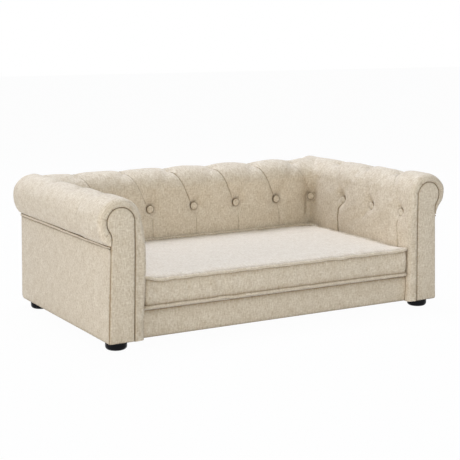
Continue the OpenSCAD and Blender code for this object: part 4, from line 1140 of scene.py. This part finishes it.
def add_boxing(material, waves):
    """The cushion's side band: bowed between the welts, flat where the zip lies in it."""
    edge, out, length, both = waves
    n = len(edge)
    fine = loop_noise(np.random.default_rng(41), length, length[-1] + loop_gap, 24)
    heights = [0, 0.03, 0.08, 0.15, 0.25, 0.37, 0.5, 0.63, 0.75, 0.85, 0.92, 0.97, 1]
    low_z, high_z = low_welt_z + 2.0, welt_z - 2.0
    inner_offset, zip_offset, zip_fade = -5.5, -1.7, 3
    zip_zone = ease((tape_high[0] + 6 - np.abs(edge[:, 0])) / 6) * (edge[:, 1] > outline_rear - 4)
    rows = []
    for h in heights:
        z = low_z + (high_z - low_z) * h
        bow = -3.0 + 4.2 * math.sin(math.pi * h) ** 0.55
        near = (1 - math.sin(math.pi * h)) ** 1.5
        tape = ease((tape_high[2] + zip_fade - z) / zip_fade) * ease((z - tape_low[2] + zip_fade) / zip_fade)
        tape = tape * zip_zone
        sideways, lift = [both["top"][k] * h + both["bottom"][k] * (1 - h) for k in (0, 1)]
        offset = (bow + 0.35 * fine * (0.35 + near) + sideways) * (1 - tape) + zip_offset * tape
        rows.append(beside(edge, out, offset, z + lift))
    rows += [beside(edge, out, inner_offset, high_z), beside(edge, out, inner_offset, low_z)]
    cloth = np.concatenate([np.stack([length, np.full(n, h * 60)], -1) for h in heights + [1, 0]])
    # Painted shade along the seams with the welts, and on the hidden inner rows
    seam = [0.95 * math.exp(-min(h, 1 - h) / 0.075) for h in heights] + [1, 1]
    points, faces = loop_shell(rows)
    add_piece("cushion_boxing", points, faces, material, "cushion",
              ["cushion_boxing", "cushion_foam"], cloth, np.repeat(seam, n))


def block(low, high):
    """Points and faces of a box between two corners."""
    corners = [(x, y, z) for x in (low[0], high[0]) for y in (low[1], high[1]) for z in (low[2], high[2])]
    faces = [(0, 1, 3, 2), (4, 6, 7, 5), (0, 4, 5, 1), (2, 3, 7, 6), (0, 2, 6, 4), (1, 5, 7, 3)]
    return np.array(corners, float), faces


def add_zip(material):
    """The zip's tape with its coil: one slab and a row of interlocking turns."""
    coil_low = tape_high[1] - 1.2
    middle = (tape_low[2] + tape_high[2]) / 2
    pitch, half_w, half_h, lean = 1.6, 0.55, 2.4, 0.25
    reach = tape_high[0] - 24
    blocks = [block(tape_low, (tape_high[0], coil_low, tape_high[2]))]
    for k in range(int(2 * reach / pitch)):
        x, z = -reach + pitch * (k + 0.5), middle + (lean if k % 2 else -lean)
        blocks.append(block((x - half_w, coil_low, z - half_h), (x + half_w, tape_high[1], z + half_h)))
    points, faces = joined(blocks)
    add_piece("zip_tape", points, faces, material, "cushion", ["zip_tape"], points[:, [0, 2]])


# Feet, dust cover and deck cloth
def add_feet(material):
    foot_edge, bore, shank = 8, 6.1, 2.65
    turns = np.radians(np.linspace(-90, 0, 12))
    for name in ("foot_front_left", "foot_front_right", "foot_rear_left", "foot_rear_right"):
        low, high = span(name)
        r, top, floor = (high[0] - low[0]) / 2, high[2], high[2] / 2
        profile = [(shank, top), (r - 1.0, top), (r - 0.3, top - 0.3), (r, top - 1.0)]
        profile += [(r - foot_edge + foot_edge * math.cos(turn), foot_edge + foot_edge * math.sin(turn))
                    for turn in turns[::-1]]
        profile += [(bore + 0.4, 0), (bore, 0.4), (bore, floor), (shank, floor), (shank, top)]
        points, faces = lathe(profile, 96)
        points = points + np.array([(low[0] + high[0]) / 2, (low[1] + high[1]) / 2, 0])
        add_piece(name, points, faces, material, "sofa", [name], sharp=35)


def add_sheet(name, xs, ys, low, high, sag, material, skip=None):
    """A thin stretched cloth over a grid of places, with a slight sag between what carries it."""
    grid = [(i, j) for i in range(len(xs) - 1) for j in range(len(ys) - 1)]
    used = [(i, j) for i, j in grid if skip is None or not skip(i, j)]
    index, points, faces = {}, [], []

    def vertex(i, j, level):
        key = (i, j, level)
        if key not in index:
            index[key] = len(points)
            points.append((xs[i], ys[j], (high if level else low) - sag(xs[i], ys[j])))
        return index[key]

    cells = set(used)
    for i, j in used:
        faces.append(tuple(vertex(a, b, 1) for a, b in ((i, j), (i + 1, j), (i + 1, j + 1), (i, j + 1))))
        faces.append(tuple(vertex(a, b, 0) for a, b in ((i, j), (i, j + 1), (i + 1, j + 1), (i + 1, j))))
        sides = (((i, j - 1), (i, j), (i + 1, j)), ((i + 1, j), (i + 1, j), (i + 1, j + 1)),
                 ((i, j + 1), (i + 1, j + 1), (i, j + 1)), ((i - 1, j), (i, j + 1), (i, j)))
        for other, a, b in sides:
            if other not in cells:
                faces.append((vertex(*a, 0), vertex(*b, 0), vertex(*b, 1), vertex(*a, 1)))
    piece = add_piece(name, points, faces, material, "sofa", [name], np.array(points)[:, :2])


def add_bottom_cloths(dust, light):
    notch_y = rail_high[1]
    xs = np.unique(np.concatenate([np.linspace(dust_low[0], -frame_x, 4), np.linspace(-frame_x, frame_x, 41),
                                   np.linspace(frame_x, dust_high[0], 4)]))
    ys = np.unique(np.concatenate([np.linspace(dust_low[1], notch_y, 3),
                                   np.linspace(notch_y, dust_high[1], 28)]))

    def hang(x, y):
        sag, front_gap, side_gap = 2.2, 20, 18
        along = np.clip((y - notch_y - front_gap) / (back_y - notch_y - 2 * front_gap), 0, 1)
        inside = max(0.0, 1 - (x / (frame_x - side_gap)) ** 2)
        return sag * math.sin(math.pi * along) * inside ** 0.5

    def notch(i, j):
        return abs(xs[i] + xs[i + 1]) / 2 < frame_x and ys[j + 1] <= notch_y + 0.01

    add_sheet("dust_cover", xs, ys, dust_low[2], dust_high[2], hang, dust,
              notch)
    xs = np.linspace(deck_low[0], deck_high[0], 12)
    ys = np.linspace(deck_low[1], deck_high[1], 8)
    add_sheet("deck_cloth", xs, ys, deck_low[2], deck_high[2], lambda x, y: 0.0, light)


# Materials
class Shader:
    """A material's nodes, with short calls to add and join them."""

    def __init__(self, name):
        self.material = bpy.data.materials.new(name)
        self.material.use_nodes = True
        self.nodes = self.material.node_tree.nodes
        self.links = self.material.node_tree.links
        self.principled = self.nodes["Principled BSDF"]

    def add(self, kind, inputs=(), **settings):
        node = self.nodes.new(kind)
        for key, value in settings.items():
            setattr(node, key, value)
        for key, value in dict(inputs).items():
            self.put(node.inputs[key], value)
        return node

    def put(self, socket, value):
        if isinstance(value, bpy.types.NodeSocket):
            self.links.new(value, socket)
        else:
            socket.default_value = value

    def math(self, operation, a, b=0.0):
        return self.add("ShaderNodeMath", {0: a, 1: b}, operation=operation).outputs[0]

    def sum(self, *parts):
        """Values added up, each times its own share."""
        total = self.math("MULTIPLY", *parts[0])
        for value, share in parts[1:]:
            total = self.math("ADD", total, self.math("MULTIPLY", value, share))
        return total

    def stretched(self, value, low, high, to_low=0.0, to_high=1.0):
        """The value's stretch from low to high turned into one from to_low to to_high."""
        return self.add("ShaderNodeMapRange", {0: value, 1: low, 2: high, 3: to_low, 4: to_high}).outputs[0]

    def scaled(self, vector, scale):
        node = self.add("ShaderNodeVectorMath", {0: vector, 1: scale}, operation="MULTIPLY")
        return node.outputs[0]

    def noise(self, vector, detail=2.0, roughness=0.5):
        node = self.add("ShaderNodeTexNoise", {"Vector": vector, "Scale": 1.0, "Detail": detail,
                                               "Roughness": roughness})
        return node.outputs[0]

    def mix(self, factor, a, b):
        node = self.add("ShaderNodeMix", data_type="RGBA")
        self.put(node.inputs[0], factor)
        self.put(node.inputs[6], a)
        self.put(node.inputs[7], b)
        return node.outputs[2]

    def bump(self, height, strength, distance):
        node = self.add("ShaderNodeBump", {"Height": height, "Strength": strength, "Distance": distance})
        self.put(self.principled.inputs["Normal"], node.outputs[0])

    def set(self, **values):
        for key, value in values.items():
            self.put(self.principled.inputs[key.replace("_", " ")], value)


def linear(r, g, b):
    """A colour given as it looks on the screen, 0 to 255, as the shader's own values."""
    dark_end = 11
    return tuple((c / 255 / 12.92) if c < dark_end else ((c / 255 + 0.055) / 1.055) ** 2.4
                 for c in (r, g, b)) + (1.0,)


def linen_material(name, colour, fleck):
    """Heathered linen weave: two sets of uneven threads, soft mottling, and painted shade towards dark brown
    in folds, seams and hollows.
    """
    # Sizes in metres of cloth: a thread's width, its uneven stretches, grain, mottling and the weave's step
    thread_w, warp_run, weft_run = 0.0026, 0.015, 0.011
    grain_size, mottle_size, weave_step = 0.0048, 0.024, 0.0011
    m = Shader(name)
    cloth = m.add("ShaderNodeUVMap", uv_map="weave").outputs[0]
    warp = m.noise(m.scaled(cloth, (1 / thread_w, 1 / warp_run, 0)), 2.0, 0.6)
    weft = m.noise(m.scaled(cloth, (1 / weft_run, 1 / thread_w, 0)), 2.0, 0.6)
    grain = m.noise(m.scaled(cloth, (1 / grain_size, 1 / grain_size, 0)), 3.0, 0.6)
    mottle = m.noise(m.scaled(cloth, (1 / mottle_size, 1 / mottle_size, 0)), 2.0, 0.5)
    threads = m.sum((warp, 0.34), (weft, 0.16))
    tone = m.math("ADD", threads, m.sum((grain, 0.36), (mottle, 0.14)))
    # The darkest flecks are browner than the cloth, and the lightest are paler
    low = tuple(c * (1 - k * fleck) for c, k in zip(colour[:3], (0.8, 1.05, 1.35))) + (1.0,)
    high = tuple(min(c * (1 + k * fleck), 0.95) for c, k in zip(colour[:3], (0.85, 1.0, 1.25))) + (1.0,)
    base = m.mix(m.stretched(tone, 0.36, 0.64), low, high)
    # Painted shade: a point attribute from 0 to 1 mixes the colour towards this dark brown, where folds,
    # seams, dimples and the cushion's overhang would shade the cloth
    painted_shade = m.add("ShaderNodeAttribute", attribute_name="painted_shade").outputs["Fac"]
    deep = tuple(c * k for c, k in zip(colour[:3], (0.28, 0.19, 0.09))) + (1.0,)
    m.set(Base_Color=m.mix(m.math("MULTIPLY", painted_shade, 0.92), base, deep), Roughness=0.92)
    m.set(Specular_IOR_Level=0.18, Sheen_Weight=0.18, Sheen_Roughness=0.45, Sheen_Tint=(1.0, 0.98, 0.94, 1.0))
    steps = m.scaled(cloth, (math.tau / weave_step, math.tau / weave_step, 0))
    split = m.add("ShaderNodeSeparateXYZ", {0: steps})
    weave = m.math("MULTIPLY", m.math("SINE", split.outputs[0]), m.math("SINE", split.outputs[1]))
    m.bump(m.math("ADD", threads, m.sum((weave, 0.3), (grain, 0.5))), 0.5, 0.0005)
    return m.material


def place(m):
    return m.add("ShaderNodeTexCoord").outputs["Object"]


def wood_material(name, dark, light, grain_scale):
    """Sawn wood with long grain along the piece and fine pores."""
    m = Shader(name)
    at = place(m)
    bend = m.noise(m.scaled(at, (3.0, 9.0, 9.0)), 2.0)
    lines = m.add("ShaderNodeTexWave", {"Vector": m.scaled(at, grain_scale), "Scale": 1.0, "Distortion": 5.0,
                                        "Detail": 2.0}, bands_direction="Y").outputs[1]
    pores = m.noise(m.scaled(at, (60.0, 900.0, 900.0)), 2.0)
    tone = m.sum((lines, 0.5), (bend, 0.3), (pores, 0.2))
    m.set(Base_Color=m.mix(tone, dark, light), Roughness=0.62)
    m.bump(m.math("ADD", pores, lines), 0.25, 0.0004)
    return m.material


def grain_material(name, dark, light, scale, roughness, bump=0.3, metallic=0.0):
    """A fine-grained stuff such as fibreboard, felt, twine or brushed steel."""
    m = Shader(name)
    at = place(m)
    fine = m.noise(m.scaled(at, scale), 4.0, 0.65)
    broad = m.noise(m.scaled(at, (25.0, 25.0, 25.0)), 2.0)
    tone = m.stretched(m.sum((fine, 0.7), (broad, 0.3)), 0.3, 0.7)
    m.set(Base_Color=m.mix(tone, dark, light), Roughness=roughness, Metallic=metallic)
    m.bump(fine, bump, 0.0003)
    return m.material


def gloss_material(name, colour):
    """Moulded gloss plastic, with faint wear in its gloss and colour."""
    m = Shader(name)
    swirl = m.noise(m.scaled(place(m), (130.0, 130.0, 130.0)), 3.0)
    rough = m.stretched(swirl, 0.3, 0.7, 0.16, 0.3)
    soft = m.mix(swirl, colour, tuple(min(1.0, c * 1.5) for c in colour[:3]) + (1.0,))
    m.set(Base_Color=soft, Roughness=rough, Specular_IOR_Level=0.09)
    m.bump(swirl, 0.03, 0.0004)
    return m.material


linen = linen_material("linen_weave", linear(213, 201, 181), 0.28)
# A lighter, paler copy of the linen: painted light, standing in for the stronger light on the cushion's top.
# The cushion's bottom, the zip and the deck cloth share it
linen_painted_light = linen_material("linen_weave_painted_light", linear(219, 209, 193), 0.18)
pine = wood_material("pine", linear(196, 160, 112), linear(224, 196, 150), (2.0, 55.0, 55.0))
plywood = wood_material("plywood", linear(178, 146, 104), linear(212, 184, 142), (2.0, 120.0, 90.0))
hardboard = grain_material("hardboard", linear(110, 82, 58), linear(142, 110, 82),
                           (900.0, 900.0, 900.0), 0.75)
dust_cloth = grain_material("dust_cloth", linear(34, 34, 36), linear(58, 58, 60), (500.0, 500.0, 500.0), 0.95)
steel = grain_material("steel", linear(150, 152, 155), linear(190, 192, 195),
                       (2500.0, 120.0, 120.0), 0.32, bump=0.1, metallic=1.0)
twine = grain_material("twine", linear(196, 188, 164), linear(226, 220, 200),
                       (1800.0, 1800.0, 500.0), 0.9, bump=0.6)
gloss_black = gloss_material("gloss_black", linear(15, 16, 19))

# What each piece that is kept as it is in the CAD is made of
cad_finish = {
    "pine": ["front_rail_board", "rear_rail_board", "side_rail_left", "side_rail_right", "centre_bearer",
             "arm_top_rail_left", "arm_top_rail_right", "arm_bottom_rail_left", "arm_bottom_rail_right",
             "back_top_rail", "back_bottom_rail", "back_posts", "foot_blocks"],
    "plywood": ["seat_deck_board", "arm_front_board_left", "arm_front_board_right", "arm_rear_board_left",
                "arm_rear_board_right"],
    "hardboard": ["arm_inner_board_left", "arm_inner_board_right", "arm_outer_board_left",
                  "arm_outer_board_right", "back_inner_board", "back_outer_board"],
    "steel": ["foot_screws", "frame_screws", "tie_washers", "zip_slider", "zip_pull"],
    "twine": ["button_ties"],
}
finishes = {"pine": pine, "plywood": plywood, "hardboard": hardboard, "steel": steel, "twine": twine}
for finish, names in cad_finish.items():
    for node in names:
        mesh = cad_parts[node].data
        mesh.materials.clear()
        mesh.materials.append(finishes[finish])

# The pieces
add_pad("back_pad", back_pad_points(3), 1, ["back_pad", "back_roll_core"], linen)
add_pad("arm_pad_right", arm_pad_points(11, 1), 1, ["arm_pad_right", "arm_roll_core_right"], linen)
add_pad("arm_pad_left", arm_pad_points(12, -1), -1, ["arm_pad_left", "arm_roll_core_left"], linen)
add_facings(linen)
add_side_panels(linen)
add_roll_welts(linen)
add_outer_back(linen)
add_rail_cover(linen)
for node in ("back_buttons", "arm_buttons_left", "arm_buttons_right"):
    add_buttons(node, button_places(node), linen)
waves = cushion_waves()
add_cushion_top(linen_painted_light, waves)
add_cushion_bottom(linen_painted_light)
add_boxing(linen, waves)
add_welt("cushion_welt_top", welt_z, waves, "top", linen)
add_welt("cushion_welt_bottom", low_welt_z, waves, "bottom", linen)
add_zip(linen_painted_light)
add_feet(gloss_black)
add_bottom_cloths(dust_cloth, linen_painted_light)

# Camera, from the fit to the photograph: lens and sensor in mm, place in metres, turns in radians
lens, sensor = 93.07, 36.0
looks_down, looks_right = 0.16975, 0.52658
camera_data = bpy.data.cameras.new("camera")
camera_data.lens, camera_data.sensor_width, camera_data.sensor_fit = lens, sensor, "HORIZONTAL"
camera = bpy.data.objects.new("camera", camera_data)
camera.location = (-1.51675, -2.61787, 0.71843)
camera.rotation_euler = (math.pi / 2 - looks_down, 0.0, -looks_right)
bpy.context.scene.collection.objects.link(camera)
bpy.context.scene.camera = camera


# Floor, lamps and sky
def add_floor():
    """A matt floor that takes the sofa's shadow, and looks nearly white to the camera."""
    size, white_share = 14.0, 0.975
    corners = [(-size, -size, 0), (size, -size, 0), (size, size, 0), (-size, size, 0)]
    mesh = bpy.data.meshes.new("floor")
    mesh.from_pydata(corners, [], [(0, 1, 2, 3)])
    floor = bpy.data.objects.new("floor", mesh)
    bpy.context.scene.collection.objects.link(floor)
    m = Shader("floor")
    m.set(Base_Color=(0.6, 0.6, 0.6, 1.0), Roughness=0.9, Specular_IOR_Level=0.0)
    path = m.add("ShaderNodeLightPath")
    seen = m.math("MAXIMUM", path.outputs["Is Camera Ray"], path.outputs["Is Glossy Ray"])
    seen = m.math("MAXIMUM", seen, path.outputs["Is Transmission Ray"])
    white = m.add("ShaderNodeEmission", {"Color": (1.0, 1.0, 1.0, 1.0), "Strength": 1.0})
    blend = m.add("ShaderNodeMixShader", {0: m.math("MULTIPLY", seen, white_share)})
    m.links.new(m.principled.outputs[0], blend.inputs[1])
    m.links.new(white.outputs[0], blend.inputs[2])
    m.links.new(blend.outputs[0], m.nodes["Material Output"].inputs["Surface"])
    mesh.materials.append(m.material)


def add_lamp(name, position, size, power, colour):
    """A round soft lamp that points at the middle of the sofa."""
    data = bpy.data.lights.new(name, "AREA")
    data.shape, data.size, data.energy, data.color = "DISK", size, power, colour
    lamp = bpy.data.objects.new(name, data)
    lamp.location = position
    way = np.array(aim) - np.array(position)
    pitch = math.atan2(math.hypot(way[0], way[1]), -way[2])
    lamp.rotation_euler = (pitch, 0.0, math.atan2(way[0], -way[1]) + math.pi)
    bpy.context.scene.collection.objects.link(lamp)


def add_world(strength, colour):
    """A dim sky that lights the sofa, and looks white to the camera and in reflections."""
    world = bpy.data.worlds.new("studio")
    bpy.context.scene.world = world
    world.use_nodes = True
    nodes, links = world.node_tree.nodes, world.node_tree.links
    sky = nodes["Background"]
    sky.inputs["Color"].default_value, sky.inputs["Strength"].default_value = colour, strength
    seen = nodes.new("ShaderNodeBackground")
    seen.inputs["Color"].default_value, seen.inputs["Strength"].default_value = (1.0, 1.0, 1.0, 1.0), 1.0
    path = nodes.new("ShaderNodeLightPath")
    either, any_ray = nodes.new("ShaderNodeMath"), nodes.new("ShaderNodeMath")
    either.operation = any_ray.operation = "MAXIMUM"
    mix = nodes.new("ShaderNodeMixShader")
    for output, socket in ((path.outputs["Is Camera Ray"], either.inputs[0]),
                           (path.outputs["Is Glossy Ray"], either.inputs[1]),
                           (either.outputs[0], any_ray.inputs[0]),
                           (path.outputs["Is Transmission Ray"], any_ray.inputs[1]),
                           (any_ray.outputs[0], mix.inputs[0]),
                           (sky.outputs[0], mix.inputs[1]), (seen.outputs[0], mix.inputs[2]),
                           (mix.outputs[0], nodes["World Output"].inputs["Surface"])):
        links.new(output, socket)


add_floor()
# Each lamp's place and size in metres, its power in watts and its colour
aim = (0.0, 0.0, 0.2)
add_lamp("key_left", (-3.2, -1.2, 2.6), 2.2, 7.0, (1.1, 1.0, 0.8))
add_lamp("side_low", (-3.9, -0.9, 0.35), 1.6, 78.0, (1.02, 1.0, 0.99))
add_lamp("top_back", (0.1, 1.2, 3.2), 2.2, 95.0, (0.95, 1.0, 1.14))
add_lamp("front", (-1.8, -3.2, 1.5), 2.6, 32.0, (1.04, 1.0, 0.84))
add_lamp("front_low", (1.2, -3.7, 0.7), 2.6, 41.0, (1.03, 1.0, 0.95))
add_world(0.24, (0.87, 1.0, 1.18, 1.0))
bpy.context.scene.view_settings.view_transform = "Standard"

bpy.context.view_layer.update()
